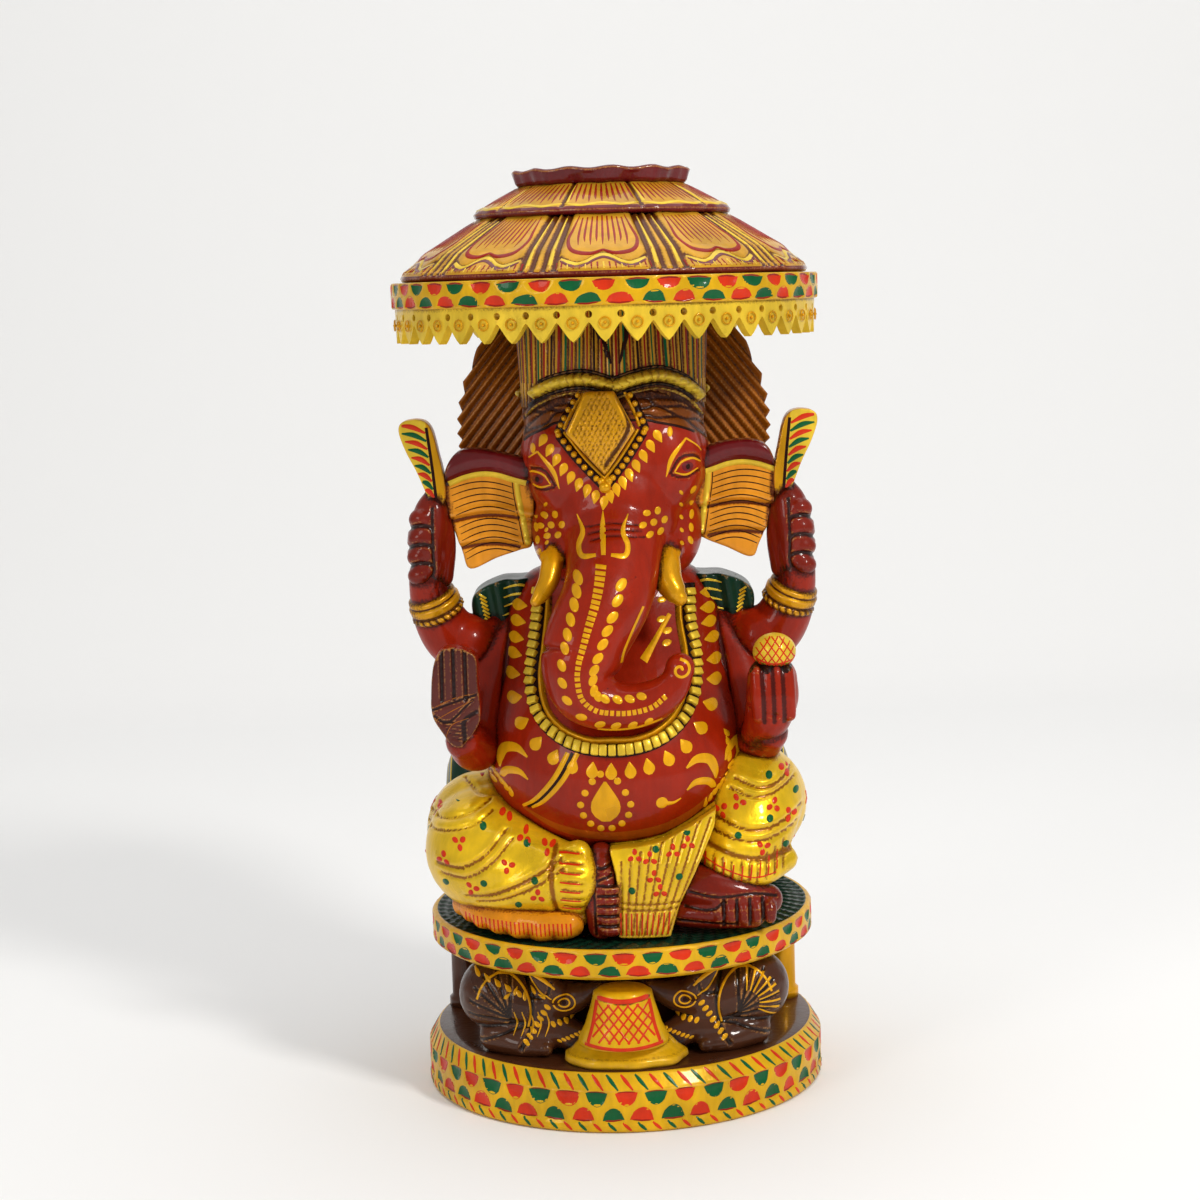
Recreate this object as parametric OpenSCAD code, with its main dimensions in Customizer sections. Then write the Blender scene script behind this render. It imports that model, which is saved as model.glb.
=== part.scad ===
// A seated elephant-headed figure under a round canopy, carved and joined in painted wood.
// It faces -Y and stands on Z = 0. Left and right are the figure's own, so its right side is at -X.

/* [Base] */
// Radius of the plinth
base_r = 67; // [60:1:68]
// Height of the plinth
base_h = 19; // [14:1:24]
// Height and width of the plinth's top bevel
base_bevel = 3; // [1:0.5:5]
// Radius of the turned core between plinth and seat
core_r = 38; // [30:1:44]
// Height of the core
core_h = 30; // [25:1:38]
// Radius of each side post
post_r = 6; // [4:0.5:8]
// Radius of the seat disc
seat_r = 64.5; // [58:0.5:67]
// Thickness of the seat disc
seat_t = 10; // [7:0.5:13]

/* [Offering and mice] */
// Width of the offering bowl at its foot
bowl_w = 42; // [34:1:48]
// Height of the offering bowl
bowl_h = 8; // [6:1:11]
// Height of the sweets heaped in the bowl
heap_h = 14; // [10:1:18]
// Length of a mouse from nose to tail
mouse_l = 38; // [32:1:42]
// Height of a mouse's back
mouse_h = 23; // [17:1:27]

/* [Torso and legs] */
// Height of the torso from seat to neck
torso_h = 113; // [94:1:136]
// Half width of the belly
belly_w = 44; // [37:1:53]
// Half depth of the belly
belly_d = 42; // [36:1:46]
// Half width across the shoulders
shoulder_w = 37; // [32:1:42]
// Radius of a knee
knee_r = 21; // [17:1:24]
// Radius of the bolster behind the figure
bolster_r = 27; // [22:1:31]
// Half length of the bolster
bolster_l = 60; // [52:1:64]

/* [Arms and hands] */
// Radius of a raised arm
rear_arm_r = 9.5; // [8:0.5:11]
// Radius of a lowered arm
front_arm_r = 8.5; // [7:0.5:10]
// Width of a hand
hand_w = 15; // [12:0.5:17]
// Height of an open hand
hand_h = 28; // [22:1:32]
// Height of a closed, raised fist
fist_h = 32; // [26:1:36]
// Length of the axe and of the noose above the fist
staff_l = 27; // [20:1:32]

/* [Head] */
// Sideways lean of the carved head towards the figure's left
head_x = 2; // [0:0.5:4]
// Height of the head from neck to browband
head_h = 63; // [54:1:72]
// Half width of the head
head_w = 32; // [27:0.5:39]
// Half depth of the head
head_d = 26; // [22:1:29]
// Radius of the trunk at its root
trunk_r = 14; // [11:0.5:16]
// Width of an ear
ear_w = 25; // [20:1:28]
// Height of an ear
ear_h = 38; // [32:1:44]
// Thickness of an ear
ear_t = 7; // [4:0.5:9]
// Height of the crown above the browband
crown_h = 26; // [20:1:32]
// Radius of the halo behind the head
halo_r = 54; // [48:1:60]
// Thickness of the halo
halo_t = 6; // [4:0.5:8]
// Number of teeth round the halo
halo_teeth = 68; // [40:2:90]

/* [Canopy] */
// Radius of the canopy's rim
canopy_r = 70.3; // [60:0.1:85]
// Height of the rim band
rim_h = 8.5; // [6:0.5:11]
// Thickness of the rim band
rim_t = 3; // [2:0.5:4]
// Depth that the fringe hangs below the rim
fringe_h = 11; // [8:0.5:13]
// Wall of the fringe
fringe_t = 3.5; // [2.5:0.5:5]
// Number of pendants in the fringe
pendants = 44; // [30:1:52]
// Radius of the drilled holes between pendants
pendant_hole_r = 1.2; // [0.8:0.1:1.6]
// Height of the lower roof
roof_h = 20; // [15:1:26]
// Radius of the lower roof at its top
roof_top_r = 41; // [35:1:46]
// Height of the upper roof
top_h = 10; // [7:1:13]
// Radius of the cap
cap_r = 29.5; // [24:0.5:33]
// Height of the cap
cap_h = 5; // [3:0.5:7]

/* [Joinery] */
// Radius of the dowels that hold the blocks together
dowel_r = 4; // [3:0.5:5]
// Depth that a dowel goes into each block
dowel_in = 9; // [6:1:12]
// Radial clearance of a dowel in its hole
dowel_fit = 0.05; // [0.02:0.01:0.1]

/* [Hidden] */

seat_z = base_h + core_h;
seat_top = seat_z + seat_t;
neck_z = seat_top + torso_h;
brow_z = neck_z + head_h;
deck_z = brow_z + crown_h;
rim_top = deck_z + rim_h;
roof_z = rim_top + roof_h;
cap_z = roof_z + top_h;
shoulder_z = seat_top + 0.86 * torso_h;
// The core is turned with a waist, this much narrower than its ends
waist_in = 4;
// Two dowels stand this far each side of the axis in the base
dowel_x = 20;
post_x = core_r + post_r + 11;
post_y = 16;
// Lowered hands stand in front of the belly's widest part
hand_y = -belly_d + 8;
wrist_z = seat_top + 0.56 * torso_h;
hand_x = shoulder_w + 14;
fist_x = shoulder_w + 24;
fist_z = shoulder_z + 9;
staff_z = fist_z + fist_h;
staff_w = 9.5;
ear_z = neck_z + 0.08 * head_h;
halo_z = neck_z + 0.75 * head_h;
halo_y = head_d - 6;
tooth_h = 2;
organic = 24;
// Level ellipses of the torso from seat to neck: height, centre, half width, half depth
TORSO = concat(
    [
        for (s = [
            [0, 6, 0.70, 0.60], [0.13, 4, 0.74, 0.66], [0.22, 0, 0.84, 0.86], [0.30, -4, 0.94, 0.97],
            [0.42, -7, 1, 1.02], [0.55, -8, 0.98, 0.96], [0.67, -4, 0.90, 0.80]
        ])
            [seat_top + s[0] * torso_h, s[1], s[2] * belly_w, s[3] * belly_d]
    ],
    [
        [shoulder_z - 0.06 * torso_h, 1, shoulder_w, 0.60 * belly_d],
        [shoulder_z, 3, shoulder_w - 1, 0.50 * belly_d],
        [neck_z - 0.05 * torso_h, 4, 0.75 * shoulder_w, 0.43 * belly_d],
        [neck_z, 3, 0.5 * shoulder_w, 0.38 * belly_d]
    ]
);

// --- Shared shapes ---

function unit(v) = v / norm(v);

// Front of the torso at a height and a distance to the side
function torso_at(z, k) = lookup(z, [for (s = TORSO) [s[0], s[k]]]);
function torso_front(x, z) = torso_at(z, 1) - torso_at(z, 3) * sqrt(max(0, 1 - (x / torso_at(z, 2)) ^ 2));

// Closed skin over rings that have the same number of points
module skin(rings) {
    n = len(rings[0]);
    last = (len(rings) - 1) * n;
    sides = [
        for (i = [0:len(rings) - 2], k = [0:n - 1])
            let (a = i * n + k, b = i * n + (k + 1) % n)
                each [[a, a + n, b], [b, a + n, b + n]]
    ];
    start = [for (k = [0:n - 1]) k];
    end = [for (k = [n - 1:-1:0]) last + k];
    polyhedron([for (ring = rings) each ring], concat(sides, [start, end]), convexity = 6);
}

// Solid through level ellipses, each given as [z, centre y, half width, half depth]
module loft(levels, n = organic) {
    skin([
        for (s = levels)
            [for (k = [0:n - 1]) [s[2] * cos(360 * k / n), s[1] + s[3] * sin(360 * k / n), s[0]]]
    ]);
}

// Round limb along a path, with one radius for each point
module limb(path, radii, n = 14, side = [0, 1, 0]) {
    last = len(path) - 1;
    skin([
        for (i = [0:last])
            let (
                t = unit(path[min(i + 1, last)] - path[max(i - 1, 0)]),
                u = unit(cross(side, t)),
                v = cross(t, u)
            )
                [for (k = [0:n - 1]) path[i] + radii[i] * (cos(360 * k / n) * u + sin(360 * k / n) * v)]
    ]);
}

module ball(at, r, n = organic) {
    translate(at) sphere(r = r, $fn = n);
}

module mirrored(side) {
    mirror([side > 0 ? 1 : 0, 0, 0]) children();
}

module dowel_hole(at, up) {
    translate([at[0], at[1], up ? at[2] - 0.01 : at[2] - dowel_in])
        cylinder(r = dowel_r + dowel_fit, h = dowel_in + 0.01, $fn = 48);
}

// A dowel centred on the glue line, a little short of both hole ends
module dowel(at) {
    translate([at[0], at[1], at[2] - dowel_in + 0.5])
        cylinder(r = dowel_r, h = 2 * dowel_in - 1, $fn = 48);
}

module pair_at(z) {
    for (x = [-dowel_x, dowel_x]) translate([x, 0, z]) children();
}

// --- Base ---

module base_plinth() {
    color("goldenrod") difference() {
        rotate_extrude($fn = 96) polygon([
            [0, 0], [base_r - 1, 0], [base_r, 1], [base_r, base_h - base_bevel],
            [base_r - base_bevel, base_h], [0, base_h]
        ]);
        pair_at(base_h) dowel_hole([0, 0, 0], false);
    }
}

module base_core() {
    color("saddlebrown") difference() {
        rotate_extrude($fn = 96) polygon([
            [0, base_h], [core_r, base_h], [core_r - waist_in, base_h + core_h / 2],
            [core_r, seat_z], [0, seat_z]
        ]);
        pair_at(base_h) dowel_hole([0, 0, 0], true);
        pair_at(seat_z) dowel_hole([0, 0, 0], false);
    }
}

module side_post(side) {
    color("darkgoldenrod") translate([side * post_x, post_y, base_h])
        cylinder(r = post_r, h = core_h, $fn = 48);
}

module seat_disc() {
    color("goldenrod") difference() {
        rotate_extrude($fn = 96) polygon([
            [0, seat_z], [seat_r - 2, seat_z], [seat_r, seat_z + 1.5],
            [seat_r, seat_top - 1], [seat_r - 1, seat_top], [0, seat_top]
        ]);
        pair_at(seat_z) dowel_hole([0, 0, 0], true);
        dowel_hole([0, 0, seat_top], false);
    }
}

module core_envelope() {
    cylinder(r = core_r, h = seat_z, $fn = 96);
}

// Bowl and heap stand at the front of the plinth, against the core
module offering(foot_w, top_w, z, h) {
    foot_y = -base_r + base_bevel + 1;
    difference() {
        hull() {
            translate([0, foot_y + foot_w * 0.42, z])
                scale([1, 0.84, 1]) cylinder(d = foot_w, h = 0.5, $fn = 32);
            translate([0, foot_y + foot_w * 0.42 + 2, z + h - 0.5])
                scale([1, 0.84, 1]) cylinder(d = top_w, h = 0.5, $fn = 32);
        }
        core_envelope();
    }
}

module offering_bowl() {
    color("gold") offering(bowl_w, bowl_w - 14, base_h, bowl_h);
}

module sweet_heap() {
    color("orange") offering(bowl_w - 17, bowl_w - 32, base_h + bowl_h, heap_h);
}

// Crouching mouse, nose towards the bowl, lying along the plinth's edge
module mouse(side) {
    reach = base_r - base_bevel - 9;
    turn = 44;
    color("saddlebrown") mirrored(side) difference() {
        rotate([0, 0, -turn]) translate([0, -reach, base_h]) hull() {
            ball([-mouse_l / 2 + 9, 0, mouse_h - 9.5], 9.5);
            ball([-mouse_l / 2 + 10, 0, 6], 9.5);
            ball([0, 1, mouse_h - 15], 9);
            ball([mouse_l / 2 - 5, 2, 4], 5);
        }
        core_envelope();
        translate([0, 0, base_h - 50]) cube([400, 400, 100], center = true);
        hull() offering_bowl();
        sweet_heap();
    }
}

// --- Torso, legs and cloth ---

module torso_form() {
    loft(TORSO, 32);
}

module torso() {
    color("firebrick") difference() {
        torso_form();
        dowel_hole([0, 0, seat_top], true);
        dowel_hole([0, 0, neck_z], false);
    }
}

module under_seat_top() {
    translate([0, 0, seat_top - 50]) cube([400, 400, 100], center = true);
}

// The right leg is folded flat, its shin across the front
module right_leg_form() {
    hull() {
        ball([-belly_w + 1, -belly_d + 20, seat_top + knee_r + 3], knee_r);
        ball([-belly_w + 16, 8, seat_top + knee_r + 7], knee_r);
        ball([-18, -belly_d - 2, seat_top + 17], 11);
    }
}

// The left leg is raised, its shin upright
module left_leg_form() {
    hull() {
        ball([belly_w - 1, -belly_d + 21, seat_top + knee_r + 17], knee_r - 2);
        ball([belly_w - 14, 6, seat_top + knee_r + 6], knee_r);
        ball([belly_w - 5, -belly_d + 10, seat_top + 26], 14);
    }
}

module right_leg() {
    color("gold") difference() {
        right_leg_form();
        torso_form();
        under_seat_top();
        hem_form();
    }
}

module left_leg() {
    color("gold") difference() {
        left_leg_form();
        torso_form();
        under_seat_top();
    }
}

module right_foot_form() {
    limb(
        [[-5.5, -belly_d - 6, seat_top - 1], [-5.5, -belly_d - 6, seat_top + 5],
         [-5.5, -belly_d - 5, seat_top + 13], [-5.5, -belly_d - 3, seat_top + 20],
         [-6.5, -belly_d + 1, seat_top + 26]],
        [6, 7, 7, 6.5, 5.5], 14
    );
}

module left_foot_form() {
    hull() {
        ball([belly_w - 20, -belly_d - 2, seat_top + 8], 7, 16);
        ball([belly_w + 1, -belly_d + 2, seat_top + 7], 6, 16);
        ball([belly_w - 10, -belly_d + 6, seat_top + 14], 6, 16);
    }
}

module right_foot() {
    color("brown") difference() {
        right_foot_form();
        right_leg_form();
        torso_form();
        under_seat_top();
    }
}

module left_foot() {
    color("brown") difference() {
        left_foot_form();
        left_leg_form();
        torso_form();
        under_seat_top();
    }
}

// Pleated cloth that falls from the lap to the seat between the feet
module sash_form() {
    translate([0, -belly_d + 4, 0]) rotate([90, 0, 0]) linear_extrude(14) polygon([
        [1, seat_top], [belly_w - 29, seat_top], [belly_w - 14, seat_top + 35], [1, seat_top + 35]
    ]);
}

module dhoti_sash() {
    color("gold") difference() {
        sash_form();
        torso_form();
        right_foot_form();
        left_foot_form();
        left_leg_form();
        under_seat_top();
    }
}

// Gathered hem that shows as a frill under the folded leg
module hem_form() {
    limb(
        [[-belly_w - 6, -belly_d + 22, seat_top + 3], [-belly_w + 3, -belly_d + 5, seat_top + 3],
         [-belly_w + 16, -belly_d - 5, seat_top + 3], [-14, -belly_d - 8, seat_top + 3]],
        [3, 3, 3, 3], 10, [0, 0, 1]
    );
}

module dhoti_hem() {
    color("orange") difference() {
        hem_form();
        torso_form();
        right_foot_form();
        under_seat_top();
    }
}

module bolster() {
    color("darkgreen") difference() {
        translate([-bolster_l, bolster_r + 1, seat_top + bolster_r]) rotate([0, 90, 0])
            rotate_extrude($fn = 64) polygon([
                [0, 0], [bolster_r - 6, 0], [bolster_r, 6], [bolster_r, 2 * bolster_l - 6],
                [bolster_r - 6, 2 * bolster_l], [0, 2 * bolster_l]
            ]);
        torso_form();
        right_leg_form();
        left_leg_form();
    }
}

// Bead collar that follows the chest in a long U
module necklace() {
    drop = 0.45 * torso_h;
    half = 0.74 * shoulder_w;
    turns = [for (a = [0:12:180]) [-half * cos(a) * (1 + 0.12 * sin(a)), neck_z - 6 - drop * sin(a)]];
    color("goldenrod") difference() {
        limb([for (t = turns) [t[0], torso_front(t[0], t[1]) - 0.5, t[1]]], [for (t = turns) 3], 8);
        torso_form();
        head_form();
        for (side = [-1, 1]) mirrored(side) {
            front_arm_form();
            shawl_form();
        }
    }
}

// Striped shawl ends that hang behind the shoulders
module shawl_form() {
    limb(
        [[-shoulder_w + 6, 12, neck_z - 4], [-shoulder_w - 1, 11, shoulder_z + 2],
         [-shoulder_w - 5, 8, shoulder_z - 14], [-shoulder_w - 5, 4, shoulder_z - 28]],
        [5, 6, 6, 4], 12
    );
}

module shawl(side) {
    color("darkgreen") difference() {
        mirrored(side) difference() {
            shawl_form();
            rear_arm_form();
            front_arm_form();
        }
        torso_form();
        halo_disc();
    }
}

// --- Arms, hands and what they hold ---

module rear_arm_form() {
    limb(
        [[-shoulder_w + 12, 4, shoulder_z - 1], [-shoulder_w - 8, 3, shoulder_z - 4],
         [-shoulder_w - 17, 0, shoulder_z - 3], [-fist_x + 2, -5, fist_z - 2], [-fist_x, -7, fist_z + 4]],
        [rear_arm_r, rear_arm_r + 1, rear_arm_r, rear_arm_r - 1.5, rear_arm_r - 3]
    );
}

module rear_arm(side) {
    color("firebrick") mirrored(side) difference() {
        rear_arm_form();
        torso_form();
        fist_form();
    }
}

module bracelet_form() {
    limb(
        [[-shoulder_w - 18, -1, shoulder_z - 3], [-fist_x + 2, -5, fist_z - 1]],
        [rear_arm_r + 1.2, rear_arm_r], 16
    );
}

module bracelet(side) {
    color("gold") mirrored(side) difference() {
        bracelet_form();
        rear_arm_form();
        fist_form();
    }
}

module fist_form() {
    hull() {
        ball([-fist_x, -8, fist_z + 7], 6.5, 18);
        ball([-fist_x - 1, -9, fist_z + fist_h - 8], 6.5, 18);
    }
}

module fist(side) {
    color("brown") mirrored(side) difference() {
        fist_form();
        staff_form();
    }
}

// Tapered blade that leans outwards from the fist
module staff_form() {
    translate([-fist_x, -10, staff_z - 4]) rotate([0, -8, 0]) hull() {
        translate([-staff_w / 2 + 1, -3, 0]) cube([staff_w - 3, 9, 1]);
        translate([-staff_w / 2 - 1, -2, staff_l + 1]) cube([staff_w, 8, 2]);
    }
}

module staff(side) {
    color("khaki") mirrored(side) staff_form();
}

module front_arm_form() {
    limb(
        [[-shoulder_w + 10, 0, shoulder_z - 8], [-shoulder_w - 6, -4, shoulder_z - 18],
         [-shoulder_w - 9, -14, wrist_z - 2], [-hand_x + 1, hand_y + 6, wrist_z + 3],
         [-hand_x + 2, hand_y + 1, wrist_z + 3]],
        [front_arm_r, front_arm_r + 0.5, front_arm_r, front_arm_r - 2.5, front_arm_r - 3.5], 14, [0, 0.2, 1]
    );
}

module front_arm(side) {
    color("firebrick") difference() {
        mirrored(side) difference() {
            front_arm_form();
            rear_arm_form();
        }
        torso_form();
        if (side < 0) {
            open_hand_form();
            right_leg_form();
        } else {
            cupped_hand_form();
            left_leg_form();
        }
    }
}

module open_hand_form() {
    translate([-hand_x, hand_y, wrist_z]) hull() {
        ball([hand_w / 2 - 5, 2, 3], 5, 16);
        ball([-hand_w / 2 + 4, 0, 7], 4, 16);
        ball([-hand_w / 2 + 4, 0, hand_h - 4], 4, 16);
        ball([hand_w / 2 - 4, 0, hand_h - 4], 4, 16);
    }
}

module open_hand() {
    color("sienna") open_hand_form();
}

module cupped_hand_form() {
    translate([hand_x, hand_y, wrist_z]) hull() {
        ball([0, 2, 6], 6, 16);
        ball([-2, 0, hand_h * 0.6], 6, 16);
        ball([3, 2, hand_h * 0.6], 6, 16);
    }
}

module modak_form() {
    translate([hand_x, hand_y + 1, wrist_z + hand_h * 0.6 + 1]) hull() {
        cylinder(r = 6.5, h = 3, $fn = 24);
        ball([0, 0, 6], 4, 16);
    }
}

module cupped_hand() {
    color("brown") difference() {
        cupped_hand_form();
        modak_form();
    }
}

module modak() {
    color("orange") modak_form();
}

// --- Head ---

module on_head() {
    translate([head_x, 0, 0]) children();
}

module skull_form() {
    on_head() loft([
        for (s = [
            [0, -4, 0.50, 0.54], [0.14, -8, 0.80, 0.78], [0.34, -8, 0.95, 0.95],
            [0.58, -8, 1, 1], [0.80, -7, 1, 0.98], [1, -5, 0.96, 0.90]
        ])
            [neck_z + s[0] * head_h, s[1], s[2] * head_w, s[3] * head_d]
    ], 28);
}

// The trunk falls to the belly, curls to the figure's left and ends in a coil
module trunk_form() {
    fall = 0.62 * head_h;
    limb(
        [[head_x, -head_d + 8, neck_z + 0.40 * head_h], [head_x - 1, -head_d - 6, neck_z + 8],
         [-4, -head_d - 14, neck_z - 0.2 * fall], [-10, -head_d - 20, neck_z - 0.5 * fall],
         [-12, -head_d - 23, neck_z - 0.75 * fall], [-6, -head_d - 24, neck_z - 0.97 * fall],
         [5, -head_d - 24, neck_z - fall], [14, -head_d - 23, neck_z - 0.93 * fall],
         [20, -head_d - 22, neck_z - 0.76 * fall], [20, -head_d - 21, neck_z - 0.6 * fall]],
        [trunk_r, trunk_r, trunk_r - 1, trunk_r - 2, trunk_r - 3, trunk_r - 5,
         trunk_r - 6.5, trunk_r - 7.5, trunk_r - 8, trunk_r - 9]
    );
}

module head_form() {
    skull_form();
    trunk_form();
}

module head() {
    color("firebrick") difference() {
        union() head_form();
        torso_form();
        dowel_hole([0, 0, neck_z], true);
        dowel_hole([0, 0, brow_z], false);
    }
}

module ear_form() {
    translate([-head_w + 6, ear_t / 2 - 6, ear_z]) rotate([90, 0, 0]) linear_extrude(ear_t) polygon([
        [0, 5], [-ear_w + 8, 0], [-ear_w + 3, 6], [-ear_w - 3, ear_h - 14],
        [-ear_w - 2, ear_h - 5], [-ear_w + 6, ear_h], [0, ear_h - 3]
    ]);
}

module ear(side) {
    color("darkred") difference() {
        on_head() mirrored(side) ear_form();
        skull_form();
        mirrored(side) {
            fist_form();
            staff_form();
        }
    }
}

module tusk(side, r, out, drop) {
    color("gold") difference() {
        on_head() mirrored(side) limb(
            [[-0.48 * head_w, -head_d + 4, neck_z + 14 - drop],
             [-0.5 * head_w, -head_d - 1, neck_z + 12 - drop],
             [-0.56 * head_w - out / 2, -head_d - 8, neck_z + 7 - drop],
             [-0.56 * head_w - out, -head_d - 13, neck_z - 1 - drop]],
            [r, r, r - 0.3, r - 1.5], 12
        );
        head_form();
    }
}

// Diamond plate with a bead border, set on the brow
module forehead_jewel() {
    jewel_z = brow_z - 16;
    color("goldenrod") difference() {
        on_head() translate([0, -head_d + 6, jewel_z]) rotate([90, 0, 0]) linear_extrude(17) polygon([
            [0, -15], [15, 1], [8, 14], [-8, 14], [-15, 1]
        ]);
        head_form();
        browband_form();
    }
}

module browband_form() {
    on_head() loft([
        [brow_z - 5, -5, head_w + 0.5, head_d + 1.5], [brow_z, -5, head_w + 1, head_d + 2],
        [brow_z + 5, -4, head_w, head_d + 0.5]
    ], 28);
}

module crown_form() {
    on_head() loft([
        [brow_z, -4, 0.94 * head_w, 0.88 * head_d], [brow_z + crown_h / 2, -3, 0.94 * head_w, 0.86 * head_d],
        [deck_z, -3, 0.95 * head_w, 0.86 * head_d]
    ], 28);
}

module browband() {
    color("gold") difference() {
        browband_form();
        skull_form();
        crown_form();
    }
}

module crown() {
    color("khaki") difference() {
        crown_form();
        dowel_hole([0, 0, brow_z], true);
        dowel_hole([0, 0, deck_z], false);
    }
}

module halo_disc() {
    on_head() translate([0, halo_y + halo_t, halo_z]) rotate([90, 0, 0])
        cylinder(r = halo_r, h = halo_t, $fn = 96);
}

// Toothed disc behind the head, cut off level under the canopy
module halo() {
    color("darkgoldenrod") difference() {
        on_head() translate([0, halo_y + halo_t, halo_z]) rotate([90, 0, 0]) linear_extrude(halo_t) polygon([
            for (k = [0:2 * halo_teeth - 1])
                let (r = halo_r - (k % 2) * tooth_h, a = 180 * k / halo_teeth) [r * cos(a), r * sin(a)]
        ]);
        translate([0, 0, deck_z + 50]) cube([400, 400, 100], center = true);
        torso_form();
        skull_form();
        crown_form();
        browband_form();
    }
}

// --- Canopy ---

module ring(outer, inner, z, h) {
    translate([0, 0, z]) difference() {
        cylinder(r = outer, h = h, $fn = 120);
        translate([0, 0, -1]) cylinder(r = inner, h = h + 2, $fn = 120);
    }
}

module canopy_deck() {
    color("brown") difference() {
        translate([0, 0, deck_z]) cylinder(r = canopy_r - rim_t, h = rim_h, $fn = 120);
        translate([0, 0, deck_z - 0.01]) cylinder(r = dowel_r + dowel_fit, h = rim_h + 0.02, $fn = 48);
    }
}

module canopy_rim() {
    color("goldenrod") ring(canopy_r, canopy_r - rim_t, deck_z, rim_h);
}

// Ring of pendants, notched below and drilled between
module canopy_fringe() {
    outer = canopy_r - 1;
    step = 360 / pendants;
    notch = PI * outer / pendants * 0.86;
    color("gold") difference() {
        ring(outer, outer - fringe_t, deck_z - fringe_h, fringe_h);
        for (k = [0:pendants - 1]) rotate([0, 0, k * step]) translate([outer - 6, 0, 0]) rotate([90, 0, 90]) {
            linear_extrude(12) polygon([
                [-notch, deck_z - fringe_h - 1], [notch, deck_z - fringe_h - 1], [0, deck_z - fringe_h / 2]
            ]);
            translate([0, deck_z - 2.4, 0]) cylinder(r = pendant_hole_r, h = 12, $fn = 24);
        }
    }
}

module lower_roof() {
    color("goldenrod") difference() {
        rotate_extrude($fn = 96) polygon([
            [0, rim_top], [canopy_r - 3, rim_top], [canopy_r - 4, rim_top + 0.17 * roof_h],
            [canopy_r - 11, rim_top + 0.45 * roof_h], [roof_top_r, roof_z], [0, roof_z]
        ]);
        translate([0, 0, rim_top - 0.01])
            cylinder(r = dowel_r + dowel_fit, h = dowel_in + 0.01, $fn = 48);
    }
}

module upper_roof() {
    color("goldenrod") rotate_extrude($fn = 96) polygon([
        [0, roof_z], [roof_top_r + 1.5, roof_z], [roof_top_r + 1, roof_z + 0.34 * top_h],
        [cap_r - 1, cap_z], [0, cap_z]
    ]);
}

module canopy_cap() {
    color("maroon") rotate_extrude($fn = 96) polygon([
        [0, cap_z], [cap_r - 1.5, cap_z], [cap_r, cap_z + cap_h], [cap_r - 4, cap_z + cap_h],
        [cap_r - 8, cap_z + cap_h - 2.5], [0, cap_z + cap_h - 2.5]
    ]);
}

// One long dowel through the deck joins crown, deck and roof
module canopy_dowel() {
    color("burlywood") translate([0, 0, deck_z - dowel_in + 0.5])
        cylinder(r = dowel_r, h = 2 * dowel_in + rim_h - 1, $fn = 48);
}

module core_dowels() {
    color("burlywood") pair_at(base_h) dowel([0, 0, 0]);
}

module seat_dowels() {
    color("burlywood") pair_at(seat_z) dowel([0, 0, 0]);
}

module centre_dowel(z) {
    color("burlywood") dowel([0, 0, z]);
}

base_plinth();
base_core();
side_post(-1);  // right_post
side_post(1);  // left_post
seat_disc();
offering_bowl();
sweet_heap();
mouse(-1);  // right_mouse
mouse(1);  // left_mouse
torso();
bolster();
right_leg();
left_leg();
right_foot();
left_foot();
dhoti_sash();
dhoti_hem();
necklace();
shawl(-1);  // right_shawl
shawl(1);  // left_shawl
rear_arm(-1);  // rear_right_arm
rear_arm(1);  // rear_left_arm
bracelet(-1);  // right_bracelet
bracelet(1);  // left_bracelet
fist(-1);  // right_fist
fist(1);  // left_fist
staff(-1);  // axe
staff(1);  // noose
front_arm(-1);  // front_right_arm
front_arm(1);  // front_left_arm
open_hand();
cupped_hand();
modak();
head();
ear(-1);  // right_ear
ear(1);  // left_ear
tusk(-1, 4, 8, 0);  // right_tusk
tusk(1, 5, 1, 3);  // left_tusk
forehead_jewel();
browband();
crown();
halo();
canopy_deck();
canopy_rim();
canopy_fringe();
lower_roof();
upper_roof();
canopy_cap();
core_dowels();
seat_dowels();
centre_dowel(seat_top);  // torso_dowel
centre_dowel(neck_z);  // neck_dowel
centre_dowel(brow_z);  // crown_dowel
canopy_dowel();
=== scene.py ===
import math
import random

import bmesh
import bpy
import numpy as np
from mathutils import Matrix, Vector
from mathutils.bvhtree import BVHTree


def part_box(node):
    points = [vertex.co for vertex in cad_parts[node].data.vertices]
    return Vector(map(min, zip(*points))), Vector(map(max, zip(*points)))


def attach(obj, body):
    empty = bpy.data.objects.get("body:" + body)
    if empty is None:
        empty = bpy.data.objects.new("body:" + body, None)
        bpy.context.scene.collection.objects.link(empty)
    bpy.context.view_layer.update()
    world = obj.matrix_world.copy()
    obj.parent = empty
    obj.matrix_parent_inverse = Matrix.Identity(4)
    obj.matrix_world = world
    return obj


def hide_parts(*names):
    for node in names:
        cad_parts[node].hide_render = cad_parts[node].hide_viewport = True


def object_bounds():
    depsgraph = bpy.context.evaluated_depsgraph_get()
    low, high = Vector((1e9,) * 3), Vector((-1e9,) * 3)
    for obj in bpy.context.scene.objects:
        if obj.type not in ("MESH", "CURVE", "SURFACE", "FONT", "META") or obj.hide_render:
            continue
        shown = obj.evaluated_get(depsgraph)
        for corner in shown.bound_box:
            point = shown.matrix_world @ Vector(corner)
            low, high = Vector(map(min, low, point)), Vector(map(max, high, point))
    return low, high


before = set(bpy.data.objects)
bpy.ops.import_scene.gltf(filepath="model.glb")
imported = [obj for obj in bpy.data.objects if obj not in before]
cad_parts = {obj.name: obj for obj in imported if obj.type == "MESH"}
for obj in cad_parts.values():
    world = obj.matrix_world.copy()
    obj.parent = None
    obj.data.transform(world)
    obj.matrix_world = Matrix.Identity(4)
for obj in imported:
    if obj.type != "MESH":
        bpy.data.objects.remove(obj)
first_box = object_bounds()
random.seed(7)
scene = bpy.context.scene

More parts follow.
